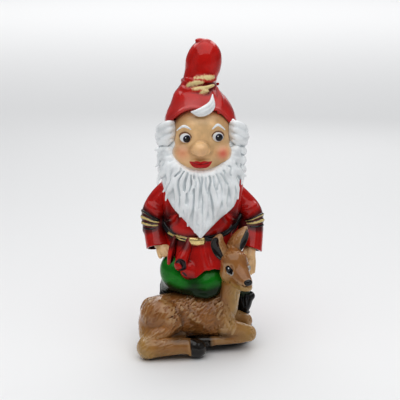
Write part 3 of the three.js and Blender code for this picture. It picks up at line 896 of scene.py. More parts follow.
def make_beard():
    clay = Clay([-66, -66, 168], [68, 24, 310], 0.9)
    clay.add(stack(BEARD_ROWS)).even()
    ends = np.array(BEARD_ENDS, float)
    count = len(ends)
    partings = []
    for layer, (reach, thickness, lift) in enumerate([(1.0, 5.8, 0.5), (0.84, 4.8, 2.4), (0.55, 3.8, 3.8)]):
        for number in range(layer % 2, count, 1 + (layer > 0)):
            share = number / (count - 1)
            angle = math.radians(186 + 168 * share)
            start = (MOUTH_MIDDLE[0] + MOUTH_HALF[0] * math.cos(angle),
                     MOUTH_MIDDLE[1] + MOUTH_HALF[1] * math.sin(angle))
            end = ends[number] + RANDOM.normal(0, 1.2, 2)
            end = np.array(start) + (end - np.array(start)) * (reach + RANDOM.uniform(-0.06, 0.02))
            size = thickness * RANDOM.uniform(0.8, 1.15)
            rows = lock(start, end, size, RANDOM.uniform(1.6, 3.2), RANDOM.uniform(0, 1), lift)
            clay.add(rope(rows, 3), 1.6)
            if abs(end[0] - CENTRE) < 44 and number % 2 == layer % 2:
                partings.append(rows[1:-2] * [1, 1, 1, 0] + [size * 0.7, -size * 0.8, 0, 1.1])
    for side in (-1, 1):
        for z in (296, 284, 271, 258):
            x = CENTRE + side * 52
            clay.add(rope([[x - side * 8, -24, z + 6, 3], [x + side * 4, -18, z + 3, 5.5],
                           [x + side * 5, -4, z - 3, 5.5], [x, 8, z - 6, 2.5]]), 1.2)
    for parting in partings:
        clay.cut(rope(parting, 3), 2)
    clay.cut(stack(FACE_OPENING), 2)
    clay.cut(ball([CENTRE, 3, 301], [42.5, 41, 43]))
    piece("beard_white", clay, white_paint("beard_paint"), ["beard"])


# ---- Tunic, belt and skirt -----------------------------------------------------------------

CHEST_ROWS = [
    [140, 1.5, -3, 48, 45],
    [150, 1.5, -3, 51, 43.5],
    [166, 1.5, -2, 53, 43.5],
    [182, 2, 0, 56, 44],
    [202, CENTRE, 5, 59, 43],
    [222, CENTRE, 10, 60, 40],
    [240, CENTRE, 13, 57, 35],
    [252, CENTRE, 14, 44, 29],
    [260, CENTRE, 13, 30, 22],
    [266, CENTRE, 12, 18, 15],
]
WAIST_Z = 163  # the belt's middle at the front
WAIST_OVAL = [2.5, -3, 55, 43.5]  # the skirt's middle, half width and half depth at the belt
BELT_HALF = 5.2


def above_belt(x, y, z):
    """How far a point is above the middle of the belt, which rises towards the sides."""
    return z - WAIST_Z - 23 * smooth_between(y, -47, 4) - 0.08 * x


def make_tunic():
    clay = Clay([-64, -48, 156], [70, 56, 268], 1.2)
    clay.add(stack(CHEST_ROWS)).even()
    creases = [
        [[-44, -22, 184, 2], [-40, -33, 190, 3], [-34, -38, 198, 1.5]],
        [[48, -20, 186, 2], [44, -32, 191, 3], [36, -38, 200, 1.5]],
        [[-46, 30, 214, 2], [-30, 46, 200, 3.5], [-6, 49, 190, 2]],
        [[50, 30, 216, 2], [36, 46, 202, 3.5], [12, 49, 190, 2]],
        [[-20, 44, 184, 2], [4, 46, 178, 3], [26, 44, 184, 2]],
    ]
    clay.add_ropes(creases, 9)
    up = above_belt(*clay.grid())
    clay.field = np.maximum(clay.field, -2 - up).astype(np.float32)

    # painted shade: black just above the belt and at the sides below the arms
    def painted_shade(x, y, z):
        by_belt = smooth_between(above_belt(x, y, z), 11, 4)
        elbow = smooth_between(np.abs(x - 2), 38, 47) * smooth_between(z, 216, 186)
        return np.clip(0.75 * by_belt + 0.95 * elbow, 0, 0.95)

    piece("tunic_red", clay, red_paint("tunic_paint", painted_shade=True), ["tunic"], {"painted_shade": painted_shade})


def make_belt():
    clay = Clay([-56, -54, 150], [60, 54, 202], 0.9)
    clay.add(stack([[z, x, y, width + 2.8, depth + 2.8] for z, x, y, width, depth in CHEST_ROWS[:6]])).even()
    x, y, z = clay.grid()
    up = above_belt(x, y, z)
    turn = np.arctan2(x - CENTRE, -y)
    height = 0.9 * np.cos(up * 1.15 + 1.2 * np.sin(turn * 5)) + 0.5 * np.sin(turn * 9 + up * 0.5)
    clay.raise_by(height - 0.5)
    clay.field = -soft_min(-clay.field, (BELT_HALF - np.abs(up)).astype(np.float32), 3)

    def gold(x, y, z):
        up = above_belt(x, y, z)
        turn = np.arctan2(x - CENTRE, -y)
        upper = np.abs(up - 3.4 - 0.8 * np.sin(turn * 7)) - 1.0
        lower = np.abs(up - 0.6 - np.sin(turn * 6)) - 0.7
        return np.minimum(upper, lower) + 4 * smooth_between(np.abs(turn + 0.62), 0.42, 0.6)

    paint = Paint("belt_paint", BLACK, roughness=0.25)
    paint.over(paint.edge("gold", 0.4, 0.8), GOLD)
    piece("belt_black", clay, paint.done(), ["belt"], {"gold": gold})


def make_buckle():
    x, y, z = -4.6, -48.5, 162.5
    clay = Clay([x - 15, y - 8, z - 9], [x + 15, y + 8, z + 9], 0.6)
    for up in (-2.4, 0, 2.4):
        clay.add(rope([[x - 8.5, y, z + up, 3.6], [x, y - 1.8, z + up, 3.9], [x + 8.5, y, z + up, 3.6]]), 2)
    paint = Paint("buckle_paint", (0.85, 0.66, 0.30), roughness=0.25, metallic=0.85)
    # painted shade: dark brown in the grooves between the bars
    paint.grooves((0.16, 0.09, 0.02), 0.9, 0.2, -0.3)
    piece("buckle_gold", clay, paint.done(), ["belt_buckle"])


# The hem seen from above, with its height at each point: from the gnome's right side round the front,
# where the cloth curls in an S beside the front flap, and round the back in soft folds.
HEM = [
    [-48, 8, 84], [-50, -8, 98], [-49, -24, 116], [-46, -36, 129], [-42, -44, 131], [-38, -40, 133],
    [-36, -46, 131], [-33, -50, 130], [-29, -46, 132], [-24, -52, 128], [-19, -58, 118], [-13, -61, 112],
    [-5, -63, 113], [2, -62, 119], [10, -60, 124], [18, -62, 125], [28, -60, 124], [36, -52, 122],
    [42, -50, 118], [46, -40, 110], [47, -28, 100], [52, -14, 88], [50, 4, 78], [54, 20, 68], [49, 36, 60],
    [46, 50, 54], [34, 56, 50], [28, 68, 46], [16, 66, 46], [8, 73, 43], [-4, 67, 45], [-14, 71, 44],
    [-24, 60, 48], [-34, 62, 48], [-42, 48, 54], [-49, 40, 60], [-47, 24, 70],
]

# The two hollows of the curled fold at the front, and the dark gap beside it.
CURL_HOLLOW = [
    [-34, -63, 136, 1], [-29, -66, 138.5, 2.6], [-23.5, -66, 135, 3.4],
    [-22, -65, 128, 3], [-28, -65, 124.5, 1.6],
]
LOWER_HOLLOW = [[-30, -61, 117, 1], [-25, -64, 119, 2.2], [-20, -64, 115.5, 1.6]]
GAP_BESIDE_CURL = [[-34, -46, 162, 1.4], [-35, -51, 146, 3], [-37, -52, 128, 4]]


def polygon_field(points, x, y):
    """Each grid point's distance from a closed outline, negative inside, and the nearest side's number."""
    best = np.full((len(x), len(y)), 1e6)
    nearest = np.zeros((len(x), len(y)), int)
    inside = np.zeros((len(x), len(y)), bool)
    gx, gy = x[:, None], y[None, :]
    for number, (start, end) in enumerate(zip(points, np.roll(points, -1, 0))):
        way = end - start
        share = np.clip(((gx - start[0]) * way[0] + (gy - start[1]) * way[1]) / (way @ way), 0, 1)
        away = np.hypot(gx - start[0] - share * way[0], gy - start[1] - share * way[1])
        nearest = np.where(away < best, number, nearest)
        best = np.minimum(best, away)
        if start[1] != end[1]:
            crosses = (start[1] > gy) != (end[1] > gy)
            inside ^= crosses & (gx < start[0] + (gy - start[1]) / way[1] * way[0])
    return np.where(inside, -best, best), nearest


def make_skirt():
    clay = Clay([-56, -70, 38], [60, 78, 200], 1.1)
    hem = smooth_path(HEM + HEM[:1], 5)[:-1]
    x, y, z = clay.axes
    wavy, nearest = polygon_field(hem[:, :2], x, y)
    foot = hem[:, 2][nearest][:, :, None]
    straight = stack([[height, *WAIST_OVAL] for height in (0, 99, 300)])[2](x, y, np.array([99], np.float32))
    top = -above_belt(x[:, None, None], y[None, :, None], 0)
    share = np.clip((top - z[None, None, :]) / (top - foot), 0, 1.2)
    flare = share ** 0.85
    side = (1 - flare) * straight + flare * wavy[:, :, None]
    wall = np.abs(side + 1.5) - 1.5
    field = np.maximum(wall, foot - z[None, None, :])
    clay.field = np.maximum(field, z[None, None, :] - top - 1).astype(np.float32)
    clay.even()
    clay.add(ball([-17, -55.5, 121], [11.5, 8, 13.5], (0, -18, 0)), 4)
    clay.add(rope([[-15, -47, 164, 4], [-19, -52, 152, 6.5], [-25, -57, 139, 8.5], [-28, -59, 130, 8.5]]), 3)
    clay.cut(rope(CURL_HOLLOW), 1)
    clay.cut(rope(LOWER_HOLLOW), 1)
    clay.add(rope([[-36, -38, 166, 2], [-40, -43, 150, 4.5], [-42, -46, 136, 4.5], [-43, -46, 129, 4]]), 3)
    clay.cut(rope(GAP_BESIDE_CURL), 2)
    clay.add(rope([[4, -47, 158, 2], [7, -54, 142, 3], [12, -60, 127, 3.5]]), 6)
    clay.add(rope([[26, -46, 160, 2], [30, -52, 142, 3], [31, -58, 127, 3.5]]), 6)

    # painted shade: black under the belt, in the hollows of the curl, in the gap beside it and low at the
    # front
    def painted_shade(x, y, z):
        under_belt = smooth_between(above_belt(x, y, z), -13, -6) * (0.35 + 0.4 * smooth_between(x, -10, -24))
        hollow = np.minimum(away_from(CURL_HOLLOW, x, y, z), away_from(LOWER_HOLLOW, x, y, z))
        curl = smooth_between(hollow, 1.4, 0.2)
        left = smooth_between(away_from(GAP_BESIDE_CURL, x, y, z), 3.0, 0.6)
        low = np.exp(-((x + 14) ** 2 / 200 + (z - 108) ** 2 / 60)) * 0.8 * (y < -40)
        right = smooth_between(x, 24, 36) * smooth_between(z, 146, 128) * (y < -30) * 0.7
        return strongest([under_belt, curl, left, low, right], 0.95)

    paint = red_paint("skirt_paint", painted_shade=True)
    piece("skirt_red", clay, paint, ["tunic_skirt"], {"painted_shade": painted_shade})


# ---- Arms ----------------------------------------------------------------------------------

SLEEVES = {
    "right": {
        "rows": [
            [-34, 14, 234, 14], [-56, 12, 210, 17], [-67.5, 7, 188, 17.5],
            [-66, -4, 166, 15.5], [-60, -19, 142, 17],
        ],
        "cuff": ([-61, -17, 144], [0.12, -0.45, -0.88]),
        "pivot": (-48, 176), "fan": (-13, 27), "folds": 3.2,
    },
    "left": {
        "rows": [
            [38, 14, 230, 14], [60, 12, 206, 17], [73.5, 7, 188, 17.5],
            [76, -5, 165, 15.5], [73, -20, 141, 16.5],
        ],
        "cuff": ([74, -17, 142], [-0.3, -0.35, -0.88]),
        "pivot": (52, 176), "fan": (-6, 21), "folds": 2.4,
    },
}


def fan_turn(sleeve, x, z):
    """The angle of the pleats that fan out from the crook of the elbow, in degrees."""
    pivot_x, pivot_z = sleeve["pivot"]
    return np.degrees(np.arctan2(z - pivot_z, np.abs(x - pivot_x) + 4))


def make_sleeve(word):
    sleeve = SLEEVES[word]
    rows = np.array(sleeve["rows"])
    reach = rows[:, 3].max() + 3
    clay = Clay(rows[:, :3].min(0) - reach, rows[:, :3].max(0) + reach, 1.0)
    clay.add(rope(sleeve["rows"], 8))
    side = math.copysign(1, rows[-1, 0])
    clay.add(ball([rows[3, 0] - side * 14, 8, 168], [9, 10, 17]), 8)
    elbow = rows[2, 0]
    # Each crease at the elbow, with x measured outwards from the elbow.
    creases = [
        [[-14, -5, 194, 2], [-6, -8, 198, 3], [6, -3, 203, 1.5]],
        [[-14, -9, 172, 2], [-6, -15, 164, 3], [0, -18, 152, 1.5]],
        [[-14, -7, 178, 2], [-2, -10, 172, 2.4], [12, -3, 166, 1.5]],
    ]
    for crease in creases:
        clay.add(rope([[elbow + side * out, *rest_of_row] for out, *rest_of_row in crease]), 8)
    point, out = sleeve["cuff"]
    clay.cut(half_space(point, [-part for part in out]))
    inside = rows[-2:] - [0, 0, 0, 3.4]
    clay.cut(rope([inside[0] * 0.4 + inside[1] * 0.6, inside[1] + [*(np.array(out) * 14), 0]]))

    # painted shade: black beside the armband, in the crook of the elbow and inside the cuff
    def painted_shade(x, y, z):
        turn = fan_turn(sleeve, x, z)
        low, high = sleeve["fan"]
        near_band = smooth_between(turn, low - 14, low - 2) * smooth_between(turn, high + 14, high + 2)
        crook = np.exp(-((x - sleeve["pivot"][0]) ** 2 + (z - sleeve["pivot"][1]) ** 2) / 260) * 1.1
        axis = smooth_path(rows, 8)
        deep = smooth_between(away_from(axis[-12:] - [0, 0, 0, 2.2], x, y, z), 0.6, -0.6)
        return strongest([0.8 * near_band * (y < 12), crook * (y < 0), deep], 0.95)

    paint = red_paint("sleeve_paint_" + word, painted_shade=True)
    piece("sleeve_red_" + word, clay, paint, ["sleeve_" + word], {"painted_shade": painted_shade})


def make_armband(word):
    sleeve = SLEEVES[word]
    rows = np.array(sleeve["rows"]) + [0, 0, 0, 0.6]
    reach = rows[:, 3].max() + 3
    low, high = rows[1:4, :3].min(0) - reach, rows[1:4, :3].max(0) + reach
    clay = Clay([low[0], low[1], 160], [high[0], high[1], 206], 0.8)
    clay.add(rope(rows, 8))
    x, y, z = clay.grid()
    turn = fan_turn(sleeve, x, z) + 2.5 * np.sin(y / 7)
    first, last = sleeve["fan"]
    period = (last - first) / sleeve["folds"]
    far = np.clip(np.abs(x - sleeve["pivot"][0]) / 30, 0, 1)
    clay.raise_by(1.0 * far * np.cos(2 * math.pi * (turn - first) / period))
    outside = np.maximum(first - turn, turn - last) * 0.5
    clay.field = -soft_min(-clay.field, -outside.astype(np.float32), 2)

    def gold(x, y, z):
        turn = fan_turn(sleeve, x, z) + 2.5 * np.sin(y / 7)
        crest = np.abs((turn - first) / period - np.round((turn - first) / period)) * period * 0.5
        ends = np.maximum(first + period * 0.4 - turn, turn - last + period * 0.4)
        # painted shade: no gold near the crook of the elbow, which stays black
        crook_shade = 6 * smooth_between(np.abs(x - sleeve["pivot"][0]), 9, 4)
        return np.maximum(crest - 1.25, ends) + crook_shade

    paint = Paint("armband_paint_" + word, BLACK, roughness=0.25)
    paint.over(paint.edge("gold", 0.5, 1.2), GOLD)
    piece("armband_pleats_" + word, clay, paint.done(), ["armband_" + word], {"gold": gold})


FINGERS = {
    "right": [
        [[-57, -24, 147, 4], [-54.5, -33, 145, 4], [-51, -39, 139, 3.4]],
        [[-54, -24, 147.5, 4], [-50, -33, 146, 4], [-46, -40, 140, 3.4]],
        [[-51, -23, 147.5, 4], [-46.5, -31, 147, 3.8], [-42, -38, 142, 3.2]],
        [[-59, -22, 146, 4], [-58.5, -31, 142, 3.8], [-56.5, -36, 136, 3.2]],
        [[-61, -16, 151, 7], [-58, -22, 149, 7.5], [-53.5, -27, 146.5, 6]],
    ],
    "left": [
        [[69, -26, 136, 4.4], [67, -36, 126, 4], [67, -42, 116, 3.4]],
        [[72, -27, 136, 4.4], [71.5, -37, 125, 4], [71.5, -42, 113, 3.4]],
        [[75, -26, 137, 4.4], [76, -35, 126, 4], [75.5, -40, 115, 3.4]],
        [[66, -24, 143, 4], [62.5, -36, 138, 3.8], [64, -42, 129, 3.2]],
        [[73, -14, 152, 7], [72, -22, 144, 8.5], [71, -30, 134, 7.5]],
    ],
}


def make_hand(word):
    points = np.array([row for finger in FINGERS[word] for row in finger])
    clay = Clay(points[:, :3].min(0) - 9, points[:, :3].max(0) + 9, 0.7)
    for finger in FINGERS[word]:
        clay.add(rope(finger), 1.4)
    piece("hand_skin_" + word, clay, skin_paint("hand_paint_" + word), ["hand_" + word])


# ---- Legs ----------------------------------------------------------------------------------


# Inside the skirt the trousers are trimmed to an oval, and only the knees in front are left whole.
TRIM_X, TRIM_STRETCH, TRIM_DEPTH = 2.5, 1.15, 39  # the oval's middle, width over depth, half depth
TRIM_FROM = 84  # the height above which they are trimmed
RIGHT_KNEE_BACK = 18  # the gnome's right knee is whole from this much further back than the left
KNEE_ROOM = 60  # how far a knee may pass the oval


def make_trousers():
    clay = Clay([-62, -66, 60], [78, 60, 152], 1.2)
    clay.add(rope([[-16, 20, 112, 28], [-27, -6, 116, 27], [-32.5, -31, 115.5, 25]], 6))
    clay.add(rope([[22, 20, 110, 28], [24, -6, 108, 27], [15, -38, 104, 24]], 6), 6)
    clay.add(ball([CENTRE, 16, 110], [45, 36, 34]), 6)
    clay.add(ball([-8, -34, 99], [36, 25, 21]), 10)
    clay.add(rope([[-34, -28, 104, 20], [-44, -8, 84, 14], [-46, -2, 68, 10]]), 8)
    clay.add(rope([[30, -26, 100, 19], [56, -14, 84, 13], [66, -11, 66, 9.5]]), 8)
    folds = [
        [[-44, -44, 120, 2], [-34, -52, 114, 3], [-24, -54, 106, 2]],
        [[0, -54, 100, 4], [9, -57, 103, 6], [16, -56, 108, 3]],
        [[-6, -54, 85, 3], [8, -56, 84, 4], [20, -52, 86, 3]],
    ]
    clay.add_ropes(folds, 7)
    x, y, z = clay.grid()
    outside = np.hypot((x - TRIM_X) / TRIM_STRETCH, y) - TRIM_DEPTH
    knees = smooth_between(y - RIGHT_KNEE_BACK * (x < 0), -18, -30)
    trim = np.where(z > TRIM_FROM, outside - KNEE_ROOM * knees, -FAR)
    clay.field = np.maximum(clay.field, trim).astype(np.float32)

    # painted shade: darker towards the bottom, between the knees and under the hem of the skirt
    def painted_shade(x, y, z):
        low = smooth_between(z + 2.2 * np.sin(x / 6), 105, 91) * 0.95
        middle = np.exp(-((x + 8) ** 2 / 150 + (z - 100) ** 2 / 90)) * 0.8
        under_skirt = np.exp(-((z - (118 + 0.15 * np.abs(x + 10))) ** 2) / 16) * 0.25
        return strongest([low, middle, under_skirt], 0.93)

    paint = Paint("trousers_paint", GREEN, roughness=0.3, coat=0.35)
    paint.over(paint.layer("painted_shade"), (0.010, 0.012, 0.008))
    piece("trousers_green", clay, paint.done(), ["trousers"], {"painted_shade": painted_shade})


def black_paint(name, roughness=0.3, coat=0.4):
    paint = Paint(name, BLACK, roughness=roughness, coat=coat)
    paint.ridges((0.03, 0.03, 0.033), 0.35, 0.1, 0.6)
    return paint.done()


def make_boot_right():
    clay = Clay([-66, -24, 4], [-28, 26, 108], 1.0)
    clay.add(rope([[-44, -4, 92, 12], [-45, -2, 78, 14], [-46, 2, 50, 12], [-48, 4, 18, 12]]))
    clay.add(rope([[-48, 8, 16, 11.5], [-53, -8, 14, 10]]), 5)
    clay.add(rope([[-56, -8, 84, 2], [-50, -16, 76, 3], [-42, -18, 70, 2]]), 4)
    clay.add(rope([[-57, -2, 68, 2], [-50, -12, 60, 3], [-42, -14, 56, 2]]), 4)
    piece("boot_black_right", clay, black_paint("boot_paint_right", 0.6, 0.0), ["boot_right"])


def make_boot_left():
    clay = Clay([48, -26, 4], [84, 24, 84], 0.8)
    clay.add(rope([[66, -13, 67, 12], [65, -11, 56, 10.5], [63, -7, 42, 8.5], [62, 4, 20, 12]]))
    clay.add(rope([[61, 8, 17, 12], [62, -4, 14.5, 10]]), 5)
    clay.add(ball([66.5, -13, 69], [14, 12, 7]), 4)
    clay.cut(ball([66.5, -13, 77], [11, 9.5, 9]), 1)
    for x, y, lean in ((62, -24, -3), (72, -25, 3)):
        clay.cut(rope([[x, y, 80, 2.4], [x - lean * 0.5, y + 1, 66, 1.6], [x - lean, y + 3, 56, 0.6]]), 3)
    clay.add(rope([[58, -10, 42, 1.5], [64, -16, 40, 2.4], [72, -8, 42, 1.5]]), 3)
    piece("boot_black_left", clay, black_paint("boot_paint_left"), ["boot_left"])


# ---- Fawn ----------------------------------------------------------------------------------


def one_way(*way):
    """A flow that is the same at every point."""
    return lambda points: np.array(way)


BACKWARDS = one_way(-0.75, -0.25, -0.75)  # the way the fur lies on the fawn's side
DOWN = one_way(-0.15, 0.1, -1)


def fawn_paint(name):
    paint = Paint(name, BROWN, roughness=0.2, coat=1.0)
    paint.over(paint.span(paint.noise(28, 3, (1, 1, 0.6)), 0.42, 0.68, 0, 0.6), RUSSET)
    paint.over(paint.layer("ochre"), paint.vary(OCHRE, 0.85, 1.15, 30))
    # painted shade: dark brown in the grooves between the fur strokes
    paint.grooves((0.10, 0.040, 0.014), 0.6, -0.05, -0.7)
    # painted highlight: pale brown on the ridges of the fur strokes, for the gloss on them
    paint.ridges((0.52, 0.34, 0.18), 0.6, 0.1, 0.55)
    # the dark layer holds the black hooves and dark ear hollows, and painted shade
    paint.over(paint.layer("dark"), (0.012, 0.009, 0.007))
    return paint


def make_fawn_body():
    clay = Clay([-92, -92, 4], [66, 2, 86], 1.1)
    clay.add(rope([[-52, -36, 46, 32], [-10, -35, 50, 33.5], [19, -37, 47, 30]], 6))
    clay.add(ball([-57, -48, 42], [31, 26, 37], (0, 20, 0)), 8)
    clay.add(rope([[-58, -50, 52, 28], [-49, -58, 53, 22], [-38, -63, 44, 15]]), 1)
    clay.add(rope([[-43, -66, 42, 13.5], [-54, -72, 34, 13], [-68, -76, 24, 14]]), 3)
    clay.add(ball([-62, -58, 26], [25, 22, 22]), 6)
    clay.add(ball([30, -42, 54], [19, 21, 31], (0, -6, 0)), 10)
    clay.add(rope([[28, -54, 56, 14], [34, -57, 45, 13], [44, -55, 35, 12]]), 6)
    clay.add(rope([[-26, -60, 66, 2], [-10, -68, 56, 3], [6, -66, 44, 2]]), 8)
    clay.cut(half_space([0, 0, 4.6], [0, 0, 1]))
    comb(clay, 520, lambda x, y, z: (x > -34) & (x < 36) & (y < -46) & (z > 22), BACKWARDS, 9, 1.0)
    comb(clay, 300, lambda x, y, z: (x < -34) & (y < -30) & (z > 12), BACKWARDS, 9, 0.8)
    comb(clay, 160, lambda x, y, z: (x > 20) & (y < -40) & (z > 30), DOWN, 8, 0.75)
    comb(clay, 160, lambda x, y, z: (y > -30), BACKWARDS, 9, 1.0)

    def ochre(x, y, z):
        rump = smooth_between(z + 0.3 * (x + 60), 46, 12) * (x < -20)
        chest = smooth_between(x, 18, 50) * smooth_between(z, 92, 50)
        return np.clip(0.7 * rump + 0.6 * chest, 0, 0.8)

    def dark(x, y, z):
        top = smooth_between(z, 73, 86) * smooth_between(x, -60, -20) * 0.75
        # painted shade: a dark line along the back of the thigh and dark under the belly; the top of the back
        # is painted darker
        behind_thigh = away_from([[-27, -68, 62, 0], [-25, -72, 46, 0], [-38, -80, 32, 0]], x, y, z)
        line = np.exp(-((behind_thigh / 3.5) ** 2))
        belly = smooth_between(z + 0.10 * x, 24, 12) * (x > -26)
        return strongest([top, 0.45 * line, belly], 0.96)

    paint = fawn_paint("fawn_body_paint")
    piece("fawn_body_fur", clay, paint.done(), ["fawn_body"], {"ochre": ochre, "dark": dark})


def make_hind_leg():
    clay = Clay([-92, -102, 0], [10, -46, 48], 0.9)
    clay.add(rope([[-28, -58, 27, 9], [-46, -64, 26, 12], [-66, -76, 21, 14], [-72, -83, 16, 15]]))
    clay.add(rope([[-72, -84, 15.4, 15], [-48, -85, 18, 13], [-26, -84, 19, 12], [-10, -82, 17, 11.6]]), 4)
    clay.add(rope([[-9, -81, 15, 12.8], [-4, -80, 14, 12.8], [-2, -80, 12.4, 11]]), 1)
    clay.add(rope([[-76, -72, 30, 4], [-84, -80, 16, 5], [-80, -84, 5, 3]]), 6)
    clay.cut(rope([[-13, -88, 30, 1.2], [-12, -95, 15, 1.4], [-13, -90, 2, 1.2]]), 2)
    clay.cut(rope([[-12, -96, 7, 1.4], [2, -95, 8, 1.8], [10, -88, 9, 1.4]]), 2)
    clay.cut(half_space([0, 0, 0.35], [0, 0, 1]))
    comb(clay, 150, lambda x, y, z: (x < -18) & (z > 4), one_way(-0.8, -0.3, -0.5), 8, 0.65)

    def ochre(x, y, z):
        return np.clip(0.1 + 0.35 * smooth_between(z, 24, 6) + 0.5 * smooth_between(x, -56, -80), 0, 0.9)

    def dark(x, y, z):
        hoof = smooth_between(x + 0.08 * z, -12.5, -10.5)
        # painted shade: a dark line along the top of the leg, below the body; the hoof is black
        line = np.exp(-((z - 31) ** 2) / 26) * smooth_between(x, -50, -30) * 0.6
        return np.maximum(hoof, line)

    paint = fawn_paint("hind_leg_paint")
    layers = {"ochre": ochre, "dark": dark}
    piece("fawn_hind_leg_fur", clay, paint.done(), ["fawn_hind_leg"], layers)


def make_foreleg_near():
    clay = Clay([-14, -74, 5], [90, -28, 52], 0.9)
    clay.add(rope([[36, -54, 37, 15], [54, -51, 31, 12], [69, -46, 24.5, 11.5]]))
    clay.add(rope([[70, -47, 22.5, 11.2], [56, -52, 19.5, 8.8], [38, -57, 18, 7.4], [22, -60, 17.5, 7]]), 3)
    clay.add(rope([[16, -60, 16.5, 7.6], [2, -61, 17, 7.8], [-6, -61, 16, 6]]), 1.5)
    clay.cut(rope([[14, -52, 22, 1], [13, -68, 17, 1.2], [14, -62, 8, 1]]), 1.5)
    clay.cut(rope([[12, -70, 14, 0.8], [2, -70.5, 15, 1.2], [-10, -68, 15, 1]]), 1.5)
    comb(clay, 110, lambda x, y, z: x > 24, one_way(0.6, 0.1, -0.6), 8, 0.6)

    def ochre(x, y, z):
        return np.clip(0.25 + 0.4 * smooth_between(x, 44, 78), 0, 0.8)

    def dark(x, y, z):
        hoof = smooth_between(x, 22, 12)
        # painted shade: dark on the underside of the leg
        under = smooth_between(z, 15, 8) * smooth_between(x, 62, 40) * 0.9
        shade = np.exp(-((z - 27) ** 2) / 22) * smooth_between(x, 52, 34) * (y < -58) * 0.6
        return strongest([hoof, under, shade], 0.97)

    paint = fawn_paint("foreleg_near_paint")
    layers = {"ochre": ochre, "dark": dark}
    piece("fawn_foreleg_near_fur", clay, paint.done(), ["fawn_foreleg_near"], layers)


def make_foreleg_far():
    clay = Clay([24, -40, 4], [78, 4, 58], 0.9)
    clay.add(rope([[40, -24, 42, 14], [54, -22, 38, 12], [66, -22, 34.5, 10]]))
    clay.add(rope([[66, -21, 33, 10], [66, -16, 20, 8.5], [64, -14, 12, 8.5]]), 3)
    comb(clay, 50, lambda x, y, z: x > 40, DOWN, 7, 0.8)

    def dark(x, y, z):
        return smooth_between(z, 22, 8) * 0.8

    paint = fawn_paint("foreleg_far_paint")
    layers = {"ochre": lambda x, y, z: 0.35 + 0 * x, "dark": dark}
    piece("fawn_foreleg_far_fur", clay, paint.done(), ["fawn_foreleg_far"], layers)


FAWN_EYE = (40.5, -73.5, 128.5)
FAWN_EYE_TURN = 32
FAWN_FAR_EYE = (67.5, -68, 129)
FAWN_MOUTH = [(52, -88, 114.5), (60, -92, 111.2), (67, -95, 110.4), (74, -92, 110.6)]


